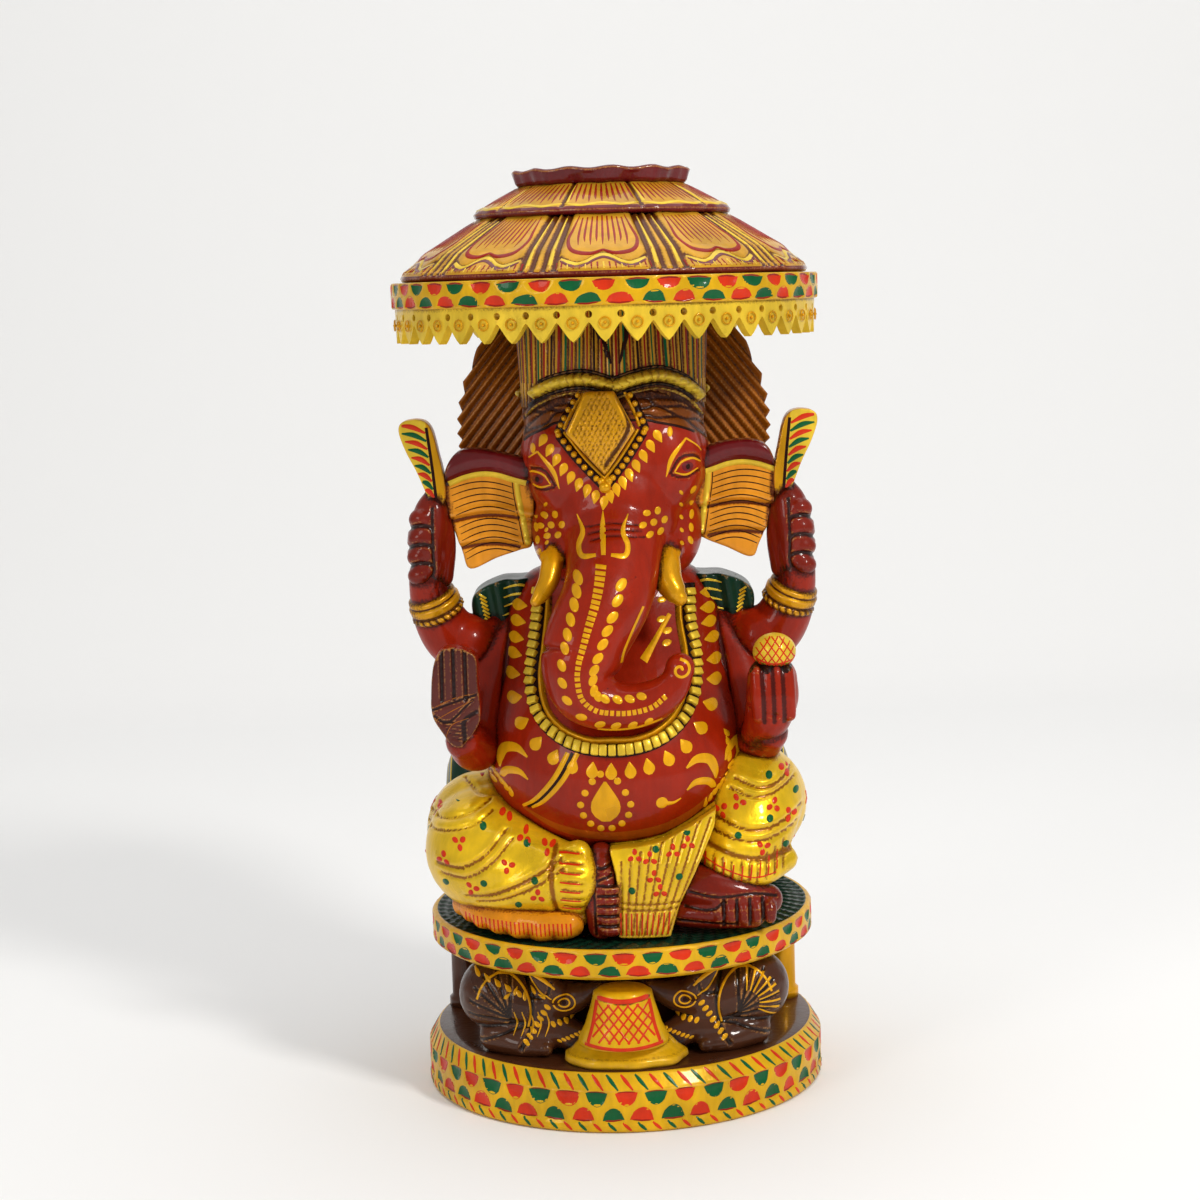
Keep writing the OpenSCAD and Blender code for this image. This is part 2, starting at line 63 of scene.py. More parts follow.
# --- Floor, light and camera ---
# A pale seamless sheet that curves up behind the figure, lit by three soft lamps.
# The camera stands about 0.8 m in front at brow height and looks slightly down.

floor_mesh = bmesh.new()
bmesh.ops.create_grid(floor_mesh, x_segments=1, y_segments=48, size=1.0)
for v in floor_mesh.verts:
    run = (v.co.y + 1) * 2.2
    v.co = Vector((v.co.x * 4, -1.6 + min(run, 2.3), 0))
    if run > 2.3:
        v.co.z = (run - 2.3) ** 2 * 0.62
        v.co.y += (run - 2.3) * 0.35
floor_data = bpy.data.meshes.new("floor")
floor_mesh.to_mesh(floor_data)
floor_data.shade_smooth()
floor = bpy.data.objects.new("floor", floor_data)
scene.collection.objects.link(floor)
cloth = bpy.data.materials.new("pale_sheet")
cloth.use_nodes = True
cloth_shader = cloth.node_tree.nodes["Principled BSDF"]
cloth_shader.inputs["Base Color"].default_value = (0.87, 0.87, 0.87, 1)
cloth_shader.inputs["Roughness"].default_value = 0.9
floor_data.materials.append(cloth)


def lamp(name, at, aim, size, power, tint):
    data = bpy.data.lights.new(name, "AREA")
    data.shape = "RECTANGLE"
    data.size, data.size_y = size
    data.energy = power
    data.color = tint
    obj = bpy.data.objects.new(name, data)
    obj.location = at
    obj.rotation_euler = (Vector(aim) - Vector(at)).to_track_quat("-Z", "Y").to_euler()
    scene.collection.objects.link(obj)
    return obj


lamp("window", (0.7, -0.8, 0.95), (0, 0, 0.15), (0.2, 0.25), 9.2, (1, 0.98, 0.94))
lamp("front_fill", (-0.9, -1.0, 0.55), (0, 0, 0.15), (0.4, 0.5), 3.4, (1, 0.99, 0.96))
lamp("overhead", (0, 0.25, 1.5), (0, 0, 0.1), (1.6, 1.2), 9.4, (1, 1, 1))
world = bpy.data.worlds.new("studio")
world.use_nodes = True
world.node_tree.nodes["Background"].inputs["Color"].default_value = (1, 0.99, 0.97, 1)
world.node_tree.nodes["Background"].inputs["Strength"].default_value = 0.44
scene.world = world
scene.view_settings.view_transform = "Standard"

camera_data = bpy.data.cameras.new("camera")
camera_data.lens = 72
camera_data.sensor_width = 36
camera_data.shift_x = -0.0108
camera = bpy.data.objects.new("camera", camera_data)
camera.matrix_world = (
    Matrix.Translation((0, -0.8, 0.266))
    @ Matrix.Rotation(math.radians(90 - 7.4), 4, "X")
    @ Matrix.Rotation(math.radians(-1.64), 4, "Z")
)
scene.collection.objects.link(camera)
scene.camera = camera

# --- Enamel and gold paint ---
# The carving is primed, painted in oil enamel and clear-lacquered. Pieces carry a "cut" value that
# is high in grooves, hollows and joints, where the paint is darkened toward a stain colour: dark
# stain, and painted shade. An edge value is high on sharp edges, where the paint is lightened:
# paint thinned by handling, and painted highlight.


def srgb(r, g, b):
    return tuple(((c / 255 + 0.055) / 1.055) ** 2.4 if c > 10 else c / 3294 for c in (r, g, b)) + (1,)


def wire(tree, a, out, b, into):
    tree.links.new(a.outputs[out], b.inputs[into])


def noise(tree, vector, scale, detail, stretch=(1, 1, 1)):
    mapping = tree.nodes.new("ShaderNodeMapping")
    mapping.inputs["Scale"].default_value = stretch
    node = tree.nodes.new("ShaderNodeTexNoise")
    node.inputs["Scale"].default_value = scale
    node.inputs["Detail"].default_value = detail
    wire(tree, vector, "Object", mapping, "Vector")
    wire(tree, mapping, "Vector", node, "Vector")
    return node


def spread(tree, source, out, low, high, to_low, to_high):
    node = tree.nodes.new("ShaderNodeMapRange")
    node.inputs["From Min"].default_value = low
    node.inputs["From Max"].default_value = high
    node.inputs["To Min"].default_value = to_low
    node.inputs["To Max"].default_value = to_high
    wire(tree, source, out, node, "Value")
    return node


enamel_look = bpy.data.node_groups.new("enamel_stain_wear_and_painted_light", "ShaderNodeTree")
for title, kind, direction in (
    ("Paint", "NodeSocketColor", "INPUT"),
    ("StainAndShade", "NodeSocketColor", "INPUT"),
    ("Color", "NodeSocketColor", "OUTPUT"),
    ("Roughness", "NodeSocketFloat", "OUTPUT"),
    ("Normal", "NodeSocketVector", "OUTPUT"),
):
    enamel_look.interface.new_socket(name=title, in_out=direction, socket_type=kind)
inside = enamel_look.nodes.new("NodeGroupInput")
outside = enamel_look.nodes.new("NodeGroupOutput")
place_in = enamel_look.nodes.new("ShaderNodeTexCoord")
patches = noise(enamel_look, place_in, 55, 3)
brushed = noise(enamel_look, place_in, 420, 4, (1, 1, 0.25))
fine = noise(enamel_look, place_in, 1500, 2)
tint = spread(enamel_look, patches, "Fac", 0.3, 0.7, 0.80, 1.14)
grain = spread(enamel_look, brushed, "Fac", 0.3, 0.7, 0.90, 1.08)
both = enamel_look.nodes.new("ShaderNodeMath")
both.operation = "MULTIPLY"
wire(enamel_look, tint, "Result", both, 0)
wire(enamel_look, grain, "Result", both, 1)
shaded = enamel_look.nodes.new("ShaderNodeVectorMath")
shaded.operation = "SCALE"
wire(enamel_look, inside, "Paint", shaded, 0)
wire(enamel_look, both, "Value", shaded, "Scale")
# Sharp edges are lightened toward a pale wood tone: worn paint, and painted highlight on the edges.
wear_and_highlight = enamel_look.nodes.new("ShaderNodeAttribute")
wear_and_highlight.attribute_name = "wear_and_highlight"
scuffs = spread(enamel_look, fine, "Fac", 0.3, 0.7, -0.35, 0.25)
ragged_wear_and_highlight = enamel_look.nodes.new("ShaderNodeMath")
ragged_wear_and_highlight.operation = "ADD"
wire(enamel_look, wear_and_highlight, "Fac", ragged_wear_and_highlight, 0)
wire(enamel_look, scuffs, "Result", ragged_wear_and_highlight, 1)
wear_and_highlight_amount = spread(enamel_look, ragged_wear_and_highlight, "Value", 0.25, 1.0, 0, 0.5)
thinned_and_highlit = enamel_look.nodes.new("ShaderNodeMix")
thinned_and_highlit.data_type = "RGBA"
thinned_and_highlit.inputs[7].default_value = srgb(214, 150, 74)
wire(enamel_look, wear_and_highlight_amount, "Result", thinned_and_highlit, 0)
wire(enamel_look, shaded, "Vector", thinned_and_highlit, 6)
# Grooves, hollows and joints are mixed toward the stain colour: dark stain, and painted shade.
cut = enamel_look.nodes.new("ShaderNodeAttribute")
cut.attribute_name = "cut"
stain_and_shade_jitter = spread(enamel_look, fine, "Fac", 0.3, 0.7, -0.12, 0.12)
ragged = enamel_look.nodes.new("ShaderNodeMath")
ragged.operation = "ADD"
wire(enamel_look, cut, "Fac", ragged, 0)
wire(enamel_look, stain_and_shade_jitter, "Result", ragged, 1)
stain_and_shade_mix = spread(enamel_look, ragged, "Value", 0.22, 0.62, 0, 0.94)
mixed = enamel_look.nodes.new("ShaderNodeMix")
mixed.data_type = "RGBA"
wire(enamel_look, stain_and_shade_mix, "Result", mixed, 0)
wire(enamel_look, thinned_and_highlit, 2, mixed, 6)
wire(enamel_look, inside, "StainAndShade", mixed, 7)
wire(enamel_look, mixed, 2, outside, "Color")
dull = spread(enamel_look, patches, "Fac", 0.3, 0.7, 0.24, 0.42)
wire(enamel_look, dull, "Result", outside, "Roughness")
relief = enamel_look.nodes.new("ShaderNodeMath")
relief.operation = "MULTIPLY_ADD"
relief.inputs[1].default_value = 0.35
wire(enamel_look, fine, "Fac", relief, 0)
wire(enamel_look, brushed, "Fac", relief, 2)
bump = enamel_look.nodes.new("ShaderNodeBump")
bump.inputs["Strength"].default_value = 0.35
bump.inputs["Distance"].default_value = 0.0004
wire(enamel_look, relief, "Value", bump, "Height")
wire(enamel_look, bump, "Normal", outside, "Normal")


# The stain colour darkens grooves, hollows and joints: it is dark stain, and painted shade there.
def enamel(name, paint, stain_and_shade=(46, 14, 6), metal=0.0, coat=0.22):
    material = bpy.data.materials.new(name)
    material.use_nodes = True
    tree = material.node_tree
    shader = tree.nodes["Principled BSDF"]
    shader.inputs["Metallic"].default_value = metal
    shader.inputs["Specular IOR Level"].default_value = 0.1
    shader.inputs["Coat Weight"].default_value = coat
    shader.inputs["Coat Roughness"].default_value = 0.035
    group = tree.nodes.new("ShaderNodeGroup")
    group.node_tree = enamel_look
    group.inputs["Paint"].default_value = srgb(*paint)
    group.inputs["StainAndShade"].default_value = srgb(*stain_and_shade)
    wire(tree, group, "Color", shader, "Base Color")
    wire(tree, group, "Roughness", shader, "Roughness")
    wire(tree, group, "Normal", shader, "Normal")
    return material


red = enamel("red_enamel", (148, 31, 5), stain_and_shade=(62, 8, 3), coat=0.26)
deep_red = enamel("deep_red_enamel", (116, 25, 8), stain_and_shade=(30, 8, 4), coat=0.32)
maroon = enamel("maroon_enamel", (104, 16, 20), stain_and_shade=(40, 8, 6), coat=0.5)
brown = enamel("brown_enamel", (72, 38, 20), stain_and_shade=(24, 10, 5), coat=0.4)
yellow = enamel("yellow_enamel", (216, 166, 16), stain_and_shade=(84, 34, 8), metal=0.1)
pale_gold = enamel("pale_gold_enamel", (226, 190, 52), stain_and_shade=(84, 30, 8), metal=0.2)
roof_gold = enamel("roof_gold_enamel", (202, 148, 34), stain_and_shade=(72, 16, 8), metal=0.2)
gold = enamel("gold_paint", (214, 152, 10), stain_and_shade=(66, 24, 6), metal=0.4)
gold_line = enamel("gold_brushwork", (228, 164, 14), stain_and_shade=(120, 62, 8), metal=0.2)
orange = enamel("orange_enamel", (222, 138, 18), stain_and_shade=(110, 34, 8))
ochre = enamel("ochre_paint", (152, 84, 10), stain_and_shade=(52, 18, 3), metal=0.2)
green = enamel("green_enamel", (16, 50, 34), stain_and_shade=(6, 14, 9))
chip_red = enamel("red_marks", (206, 48, 14), stain_and_shade=(110, 20, 8), coat=0.24)
chip_green = enamel("green_marks", (6, 88, 46), stain_and_shade=(4, 34, 20), coat=0.24)
black_line = enamel("dark_brushwork", (40, 12, 6), stain_and_shade=(18, 6, 4), coat=0.06)
wine_line = enamel("wine_brushwork", (146, 26, 12), stain_and_shade=(60, 10, 6))

# --- Base plinth ---
# A turned disc of wood with a bevelled top edge. Its side is chip-carved with two staggered rows
# of half-moon gouges, painted red and green in turn, between borders of slanted brush strokes.


def span(node):
    low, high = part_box(node)
    return low * 1000, high * 1000


carved = []


def piece(name, bm, materials, nodes=(), sheet=0.0, smooth=True):
    """Makes a finished object from a shape in millimetres."""
    bmesh.ops.scale(bm, vec=(0.001, 0.001, 0.001), verts=bm.verts)
    for face in bm.faces:
        face.smooth = smooth
    data = bpy.data.meshes.new(name)
    bm.to_mesh(data)
    bm.free()
    for material in materials:
        data.materials.append(material)
    obj = bpy.data.objects.new(name, data)
    scene.collection.objects.link(obj)
    if sheet:
        solid = obj.modifiers.new("body", "SOLIDIFY")
        solid.thickness = sheet * 0.001
        solid.offset = -1
    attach(obj, "root")
    if nodes:
        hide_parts(*nodes)
        carved.append(obj)
    return obj


def repeated(bm, count):
    """Copies a shape evenly round the axis."""
    out = bmesh.new()
    data = bpy.data.meshes.new("copy")
    bm.to_mesh(data)
    bm.free()
    for k in range(count):
        start = len(out.verts)
        out.from_mesh(data)
        out.verts.ensure_lookup_table()
        bmesh.ops.rotate(
            out, cent=(0, 0, 0), matrix=Matrix.Rotation(math.tau * k / count, 3, "Z"),
            verts=out.verts[start:]
        )
    bpy.data.meshes.remove(data)
    return out


def turned(profile, steps):
    """Spins a profile of (radius, height) points about the axis; the ends lie on the axis."""
    bm = bmesh.new()
    verts = [bm.verts.new((0, -r, z)) for r, z in profile]
    edges = [bm.edges.new(pair) for pair in zip(verts, verts[1:])]
    bmesh.ops.spin(
        bm, geom=verts + edges, cent=(0, 0, 0), axis=(0, 0, 1), angle=math.tau / 12,
        steps=max(1, steps // 12)
    )
    bm = repeated(bm, 12)
    bmesh.ops.remove_doubles(bm, verts=bm.verts, dist=0.001)
    bmesh.ops.recalc_face_normals(bm, faces=bm.faces)
    return bm


def filled(points, step):
    """Adds points so that no stretch of a profile is longer than step."""
    out = [points[0]]
    for (r0, z0), (r1, z1) in zip(points, points[1:]):
        n = max(1, math.ceil(math.hypot(r1 - r0, z1 - z0) / step))
        out += [(r0 + (r1 - r0) * k / n, z0 + (z1 - z0) * k / n) for k in range(1, n + 1)]
    return out


def coords(bm):
    return np.array([v.co for v in bm.verts])


def set_coords(bm, co):
    for v, c in zip(bm.verts, co):
        v.co = c


def moved(bm, *vec):
    bmesh.ops.translate(bm, vec=vec, verts=bm.verts)


def tipped(bm, axis):
    """Lays a turned shape on its side."""
    bmesh.ops.rotate(bm, cent=(0, 0, 0), matrix=Matrix.Rotation(math.pi / 2, 3, axis), verts=bm.verts)


def polar(bm):
    """The vertices of a turned shape, their angles from the front and their radii."""
    co = coords(bm)
    return co, np.arctan2(co[:, 0], -co[:, 1]), np.hypot(co[:, 0], co[:, 1])


def mark(bm, values):
    """Stores how deep in a cut each vertex lies; the colour there is darkened, as dark wash and as painted
    shade.
    """
    layer = bm.verts.layers.float.get("cut") or bm.verts.layers.float.new("cut")
    for v, value in zip(bm.verts, values):
        v[layer] = max(v[layer], float(value))


def paint_faces(bm, pick):
    """Gives each face the paint that pick names from its middle and its outward direction."""
    for face in bm.faces:
        face.material_index = int(pick(face.calc_center_median(), face.normal))


def half_moon(across, down, width, height):
    """1 at the flat edge's middle, 0 on the curved edge and outside the half-moon."""
    inside_it = (down >= 0) * (1 - (across / width) ** 2 - (down / height) ** 2)
    return np.clip(inside_it, 0, 1)


def chip_rows(middle, half):
    """The two staggered rows: (height of flat edge, direction down from it, phase)."""
    return ((middle + half, 1, 0.0), (middle - half, -1, 0.5))


def gouge(bm, radius, middle, half, count, depth=0.75):
    """Cuts the half-moon chips into the side of a turned piece."""
    co, angle, reach = polar(bm)
    width = math.tau * radius / count * 0.40
    total = np.zeros(len(co))
    for flat, way, phase in chip_rows(middle, half):
        turn = angle / math.tau * count + phase
        across = (turn - np.round(turn)) * math.tau * radius / count
        total += half_moon(across, way * (flat - co[:, 2]), width, half * 0.86)
    total *= reach > radius - 1.5
    co[:, :2] *= (1 - depth * np.sqrt(total) / np.maximum(reach, 1))[:, None]
    set_coords(bm, co)


def tree_of(bm):
    return BVHTree.FromBMesh(bm)


def around(tree, radius, cx=0.0, cy=0.0):
    """Places marks on the side of a round piece: distance along the girth, then height."""

    def place(u, v):
        a = u / radius
        way = Vector((math.sin(a), -math.cos(a), 0))
        hit = tree.ray_cast(Vector((cx, cy, v)) + way * 150, -way)
        return (hit[0], hit[1]) if hit[0] is not None else None

    return place


def facing(tree, way=(0, 1, 0), least=0.16):
    """Places marks straight along one direction: sideways distance, then height."""
    aim = Vector(way)
    across = Vector((aim.y, -aim.x, 0))

    def place(u, v):
        hit = tree.ray_cast(across * u + Vector((0, 0, v)) - aim * 150, aim)
        return (hit[0], hit[1]) if hit[0] is not None and hit[1].dot(aim) < -least else None

    return place


def eased(values, n):
    """Runs a smooth curve through values, as n evenly spaced samples."""
    p = np.array(values, float)
    p = p.reshape(len(p), -1)
    if len(p) == 2:
        t = np.linspace(0, 1, n)[:, None]
        return p[0] * (1 - t) + p[1] * t
    ends = np.vstack([2 * p[0] - p[1], p, 2 * p[-1] - p[-2]])
    out = []
    for s in np.linspace(0, len(p) - 1, n):
        i = min(int(s), len(p) - 2)
        t = s - i
        a, b, c, d = ends[i : i + 4]
        out.append(
            0.5 * (2 * b + (c - a) * t + (2 * a - 5 * b + 4 * c - d) * t**2
                   + (3 * b - a - 3 * c + d) * t**3)
        )
    return np.array(out)


def half_widths(values, n):
    """The half width of a brush mark at n points, from one number or a few."""
    return np.clip(np.full(n, values) if np.isscalar(values) else eased(values, n)[:, 0], 0.06, None)


def daub(bm, place, path, left, right=None, n=9, across=3, lift=0.2, paint=0):
    """Lays one brush mark on a surface, with a half width on each side of its path."""
    line = eased(path, n)
    left = half_widths(left, n)
    right = left if right is None else half_widths(right, n)
    ahead = np.gradient(line, axis=0)
    ahead /= np.maximum(np.linalg.norm(ahead, axis=1), 1e-6)[:, None]
    side = np.stack([-ahead[:, 1], ahead[:, 0]], 1)
    found = [[place(*(line[i] + side[i] * (left[i] * j / across - right[i] * (1 - j / across))))
              for j in range(across + 1)] for i in range(n)]
    good = [all(spot is not None for spot in row) for row in found]
    runs = [(i, j) for i in range(n) for j in range(i + 2, n) if all(good[i : j + 1])]
    if not runs:
        return
    first, last = max(runs, key=lambda pair: pair[1] - pair[0])
    n = last - first + 1
    spots = []
    for j in range(across + 1):
        rise = 0.05 + lift * math.sin(math.pi * j / across)
        for i in range(n):
            at, normal = found[first + i][j]
            spots.append(at + normal * rise * min(1, 0.4 + min(i, n - 1 - i) * 0.4))
    made = bmesh.ops.create_grid(bm, x_segments=n - 1, y_segments=across, size=1)
    faces = set()
    for v, spot in zip(made["verts"], spots):
        v.co = spot
        faces.update(v.link_faces)
        for edge in v.link_edges:
            edge.smooth = not edge.is_boundary
    for face in faces:
        face.material_index = paint


def paced(points, n=300):
    """A smooth line as many points, with its direction and the distance run at each."""
    line = eased(points, n)
    ahead = np.gradient(line, axis=0)
    ahead /= np.linalg.norm(ahead, axis=1)[:, None]
    return line, ahead, np.concatenate([[0], np.cumsum(np.linalg.norm(np.diff(line, axis=0), axis=1))])


def thin(bm, place, path, width, n=9, lift=0.2, paint=0):
    """A fine line."""
    daub(bm, place, path, width, n=n, across=2, lift=lift, paint=paint)


def dot(bm, place, x, z, r, paint=0, tall=1.0, lean=0.0, lift=0.2):
    """An oval touch of the brush."""
    turns = [math.pi * k / 8 for k in range(9)]
    path = [(x - math.sin(lean) * r * tall * math.cos(t), z - math.cos(lean) * r * tall * math.cos(t))
            for t in turns]
    daub(bm, place, path, [r * math.sin(t) for t in turns], n=9, lift=lift, paint=paint)


def tear(bm, place, x, z, length, width, lean, paint=0):
    """A teardrop: pointed where the brush leaves, round where it lands."""
    way = np.array([math.sin(lean), math.cos(lean)]) * length / 2
    path = [(x - way[0] * (1 - k / 3), z - way[1] * (1 - k / 3)) for k in range(7)]
    daub(bm, place, path, [w * width / 2 for w in (0.3, 0.85, 1, 0.95, 0.7, 0.4, 0.08)], n=9, paint=paint)


def painted_chips(bm, place, radius, middle, half, count, sweep=0.25):
    """Paints the chips by hand: each differs a little in width, depth, tilt and place."""
    pitch = math.tau * radius / count
    for row, (flat, way, phase) in enumerate(chip_rows(middle, half)):
        for k in range(count):
            width = pitch * random.uniform(0.35, 0.44)
            u = (k - phase) * pitch + random.uniform(-0.35, 0.35)
            tilt, skew = random.uniform(-0.07, 0.07), random.uniform(-0.2, 1) * sweep
            deep = half * random.uniform(0.82, 1.02)
            reach = np.linspace(-1, 1, 11)
            path = [(u + width * s, flat - way * (0.12 + 0.35 * abs(s)) + tilt * width * s) for s in reach]
            belly = [deep * math.sqrt(max(0, 1 - s * s)) * (1 + skew * s) for s in reach]
            left, right = (0.06, belly) if way > 0 else (belly, 0.06)
            daub(bm, place, path, left, right, n=11, across=4, lift=0.05, paint=(k + row) % 2)
            # A thin dark line along the flat edge: painted shade inside the gouge.
            edge = [(x, z + (0.05 if way > 0 else -0.05)) for x, z in path[1:-1]]
            thin(bm, place, edge, [0.1] + [0.26] * 7 + [0.1], n=9, lift=0.16, paint=2)


def slants(bm, place, radius, low, high, count, lean=1.6, width=0.55):
    """A border of short slanted strokes, red and green in turn."""
    pitch = math.tau * radius / count
    for k in range(count):
        u = k * pitch
        bow = [(u - lean, high), (u - lean * 0.1, (low + high) / 2 + 0.2), (u + lean, low)]
        thin(bm, place, bow, [width * 0.5, width, width * 0.3], n=6, lift=0.18, paint=k % 2)


low, high = span("base_plinth")
base_r, base_top = high.x, high.z
CHIPS = 44
plinth = turned(
    filled([(0, 0), (base_r - 1, 0), (base_r, 0.8), (base_r, base_top - 5)], 0.8)
    + filled([(base_r - 0.4, base_top - 4.8), (base_r - 3, base_top - 0.4), (base_r - 3.6, base_top)], 0.9)
    + [(base_r - 8, base_top), (0, base_top)],
    600,
)
gouge(plinth, base_r, 8.8, 4.9, CHIPS, depth=0.9)
side = around(tree_of(plinth), base_r)
paint_faces(plinth, lambda mid, out: mid.z > base_top - 0.05)
piece("base_plinth_carved", plinth, [yellow, brown], ["base_plinth"])
marks = bmesh.new()
painted_chips(marks, side, base_r, 8.8, 4.9, CHIPS, sweep=0.1)
slants(marks, side, base_r, 0.5, 3.5, 88)
slants(marks, side, base_r, 14.1, base_top - 0.5, 88, lean=2.0, width=0.62)
piece("base_plinth_marks", marks, [chip_red, chip_green, wine_line], sheet=0.35)

# --- Seat disc ---
# A second turned disc, with a plain yellow edge band over two rows of painted chips.
# Its top is cut with short scale-like gouges and painted dark green.
low, high = span("seat_disc")
seat_r, seat_low, seat_top = high.x, low.z, high.z
seat = turned(
    filled([(0, seat_low), (seat_r - 2, seat_low)], 20)
    + filled([(seat_r - 1.6, seat_low + 0.3), (seat_r, seat_low + 1.4), (seat_r, seat_top - 0.9)], 0.75)
    + filled([(seat_r - 0.9, seat_top), (20, seat_top)], 0.9)
    + [(0, seat_top)],
    560,
)
gouge(seat, seat_r, (seat_low + seat_top) / 2 + 0.3, 3.7, CHIPS)
co, turn, reach = polar(seat)
on_top = (co[:, 2] > seat_top - 0.1) & (reach < seat_r - 2.5) & (reach > 22)
ring = reach / 2.6
scale = np.sin(turn * 75 + np.floor(ring) * 2.1) * np.sin((ring % 1) * math.pi)
co[:, 2] -= on_top * (0.35 + 0.35 * scale)
set_coords(seat, co)
mark(seat, on_top * np.clip(0.35 - 0.5 * scale, 0, 0.6))
seat_side = around(tree_of(seat), seat_r)
paint_faces(seat, lambda mid, out: mid.z > seat_top - 1.2 and mid.xy.length < seat_r - 2.2)
piece("seat_disc_carved", seat, [yellow, green], ["seat_disc"])
marks = bmesh.new()
painted_chips(marks, seat_side, seat_r, (seat_low + seat_top) / 2 + 0.3, 3.7, CHIPS)
piece("seat_disc_marks", marks, [chip_red, chip_green, wine_line], sheet=0.35)

# --- Core and side posts ---
# The waisted core that carries the seat, and two plain posts at the back, turned and painted.
low, high = span("base_core")
core = turned(
    filled([(0, low.z), (high.x, low.z), (high.x - 4, (low.z + high.z) / 2), (high.x, high.z), (0, high.z)],
           2),
    160,
)
co, turn, reach = polar(core)
flute = 0.5 * np.abs(np.sin(turn * 20)) * (reach > 30)
co[:, :2] *= (1 - flute / np.maximum(reach, 0.01))[:, None]
set_coords(core, co)
mark(core, (reach > 30) * np.clip(0.5 - np.abs(np.sin(turn * 20)), 0, 1))
piece("base_core_fluted", core, [brown], ["base_core"])
for node, paint in (("right_post", brown), ("left_post", gold)):
    low, high = span(node)
    r = (high.x - low.x) / 2
    post = turned(
        [(0, low.z), (r, low.z), (r, low.z + 3), (r - 1, low.z + 4), (r - 1, high.z - 4), (r, high.z - 3),
         (r, high.z), (0, high.z)],
        48,
    )
    moved(post, (low.x + high.x) / 2, (low.y + high.y) / 2, 0)
    piece(node + "_turned", post, [paint], [node])

# --- Canopy rim and deck ---
# The thick yellow edge of the umbrella, chip-carved like the plinth, round a plain deck.
low, high = span("canopy_rim")
rim_r, rim_low, rim_top = high.x, low.z, high.z
rim = turned(
    [(rim_r - 5, rim_low), (rim_r - 1, rim_low)]
    + filled([(rim_r - 0.3, rim_low + 0.2), (rim_r, rim_low + 0.6), (rim_r, rim_top - 0.6),
              (rim_r - 0.4, rim_top)], 0.7)
    + [(rim_r - 5, rim_top), (rim_r - 5, rim_low)],
    600,
)
gouge(rim, rim_r, (rim_low + rim_top) / 2, 3.7, CHIPS)
rim_side = around(tree_of(rim), rim_r)
piece("canopy_rim_carved", rim, [yellow], ["canopy_rim"])
marks = bmesh.new()
painted_chips(marks, rim_side, rim_r, (rim_low + rim_top) / 2, 3.7, CHIPS)
piece("canopy_rim_marks", marks, [chip_red, chip_green, wine_line], sheet=0.35)
low, high = span("canopy_deck")
deck = turned(
    filled([(0, low.z), (high.x - 2, low.z)], 3) + [(high.x - 2, high.z - 0.5), (0, high.z - 0.5)], 120
)
co, turn, reach = polar(deck)
rings = np.clip(np.sin(reach * 0.9), 0, 1) * (co[:, 2] < low.z + 0.1) * (reach > 34)
co[:, 2] += rings * 0.3
set_coords(deck, co)
mark(deck, rings * 0.5)
piece("canopy_deck_turned", deck, [deep_red], ["canopy_deck"])

# --- Fringe ---
# A saw-cut ring of round-sided pendants with a hole drilled between each pair.
# Each pendant is punched with a ring and a dot.
low, high = span("canopy_fringe")
fringe_r, fringe_low, fringe_top = high.x, low.z, high.z
PENDANTS = 44
half_w = math.pi * fringe_r / PENDANTS
drop = fringe_top - fringe_low
hole = 1.15
hole_z = fringe_top - 2.6
outline = [(half_w, fringe_top), (half_w, hole_z + hole)]
outline += [
    (half_w - hole * math.sin(a), hole_z + hole * math.cos(a)) for a in np.linspace(0.3, math.pi - 0.3, 7)
]
outline += [(half_w, hole_z - hole), (half_w, fringe_top - drop * 0.45)]
outline += [
    (half_w * (1 - k) ** 0.75 * 0.97, fringe_top - drop * (0.45 + 0.55 * k ** 1.15))
    for k in (0.12, 0.35, 0.6, 0.82)
]
outline += [(0, fringe_low)]
outline += [(-x, z) for x, z in reversed(outline[:-1])]
tooth = bmesh.new()
face = tooth.faces.new([tooth.verts.new((x, -fringe_r + 0.35, z)) for x, z in outline])
bmesh.ops.inset_region(tooth, faces=[face], thickness=0.55, depth=0.35)
open_edges = [e for e in tooth.edges if e.is_boundary]
walls = bmesh.ops.extrude_edge_only(tooth, edges=open_edges)
back = [v for v in walls["geom"] if isinstance(v, bmesh.types.BMVert)]
bmesh.ops.translate(tooth, vec=(0, 3, 0), verts=back)
bmesh.ops.contextual_create(tooth, geom=[e for e in tooth.edges if e.is_boundary])
bmesh.ops.triangulate(tooth, faces=[f for f in tooth.faces if len(f.verts) > 4])
bmesh.ops.recalc_face_normals(tooth, faces=tooth.faces)
for v in tooth.verts:
    if v.co.z < fringe_top - 0.5 and v.co.y < -fringe_r + 0.2:
        v.co.y -= 0.2
ring_path = turned([(1.45, 0), (1.7, 0.28), (1.95, 0), (1.7, -0.2), (1.45, 0)], 20)
bmesh.ops.create_uvsphere(ring_path, u_segments=10, v_segments=6, radius=0.55)
tipped(ring_path, "X")
moved(ring_path, 0, -fringe_r - 0.15, fringe_top - drop * 0.47)
piece("canopy_fringe_carved", repeated(tooth, PENDANTS), [pale_gold], ["canopy_fringe"],
      smooth=False)
piece("canopy_fringe_punched", repeated(ring_path, PENDANTS), [gold])

# --- Roof tiers and cap ---
# Two turned tiers are carved as overlapping lotus petals. Dark stain and painted shade lie in the
# grooves between the petals, and a dark line under each wavy lip is a painted shadow; each petal is
# painted with a red outline, red veins and gold highlights.


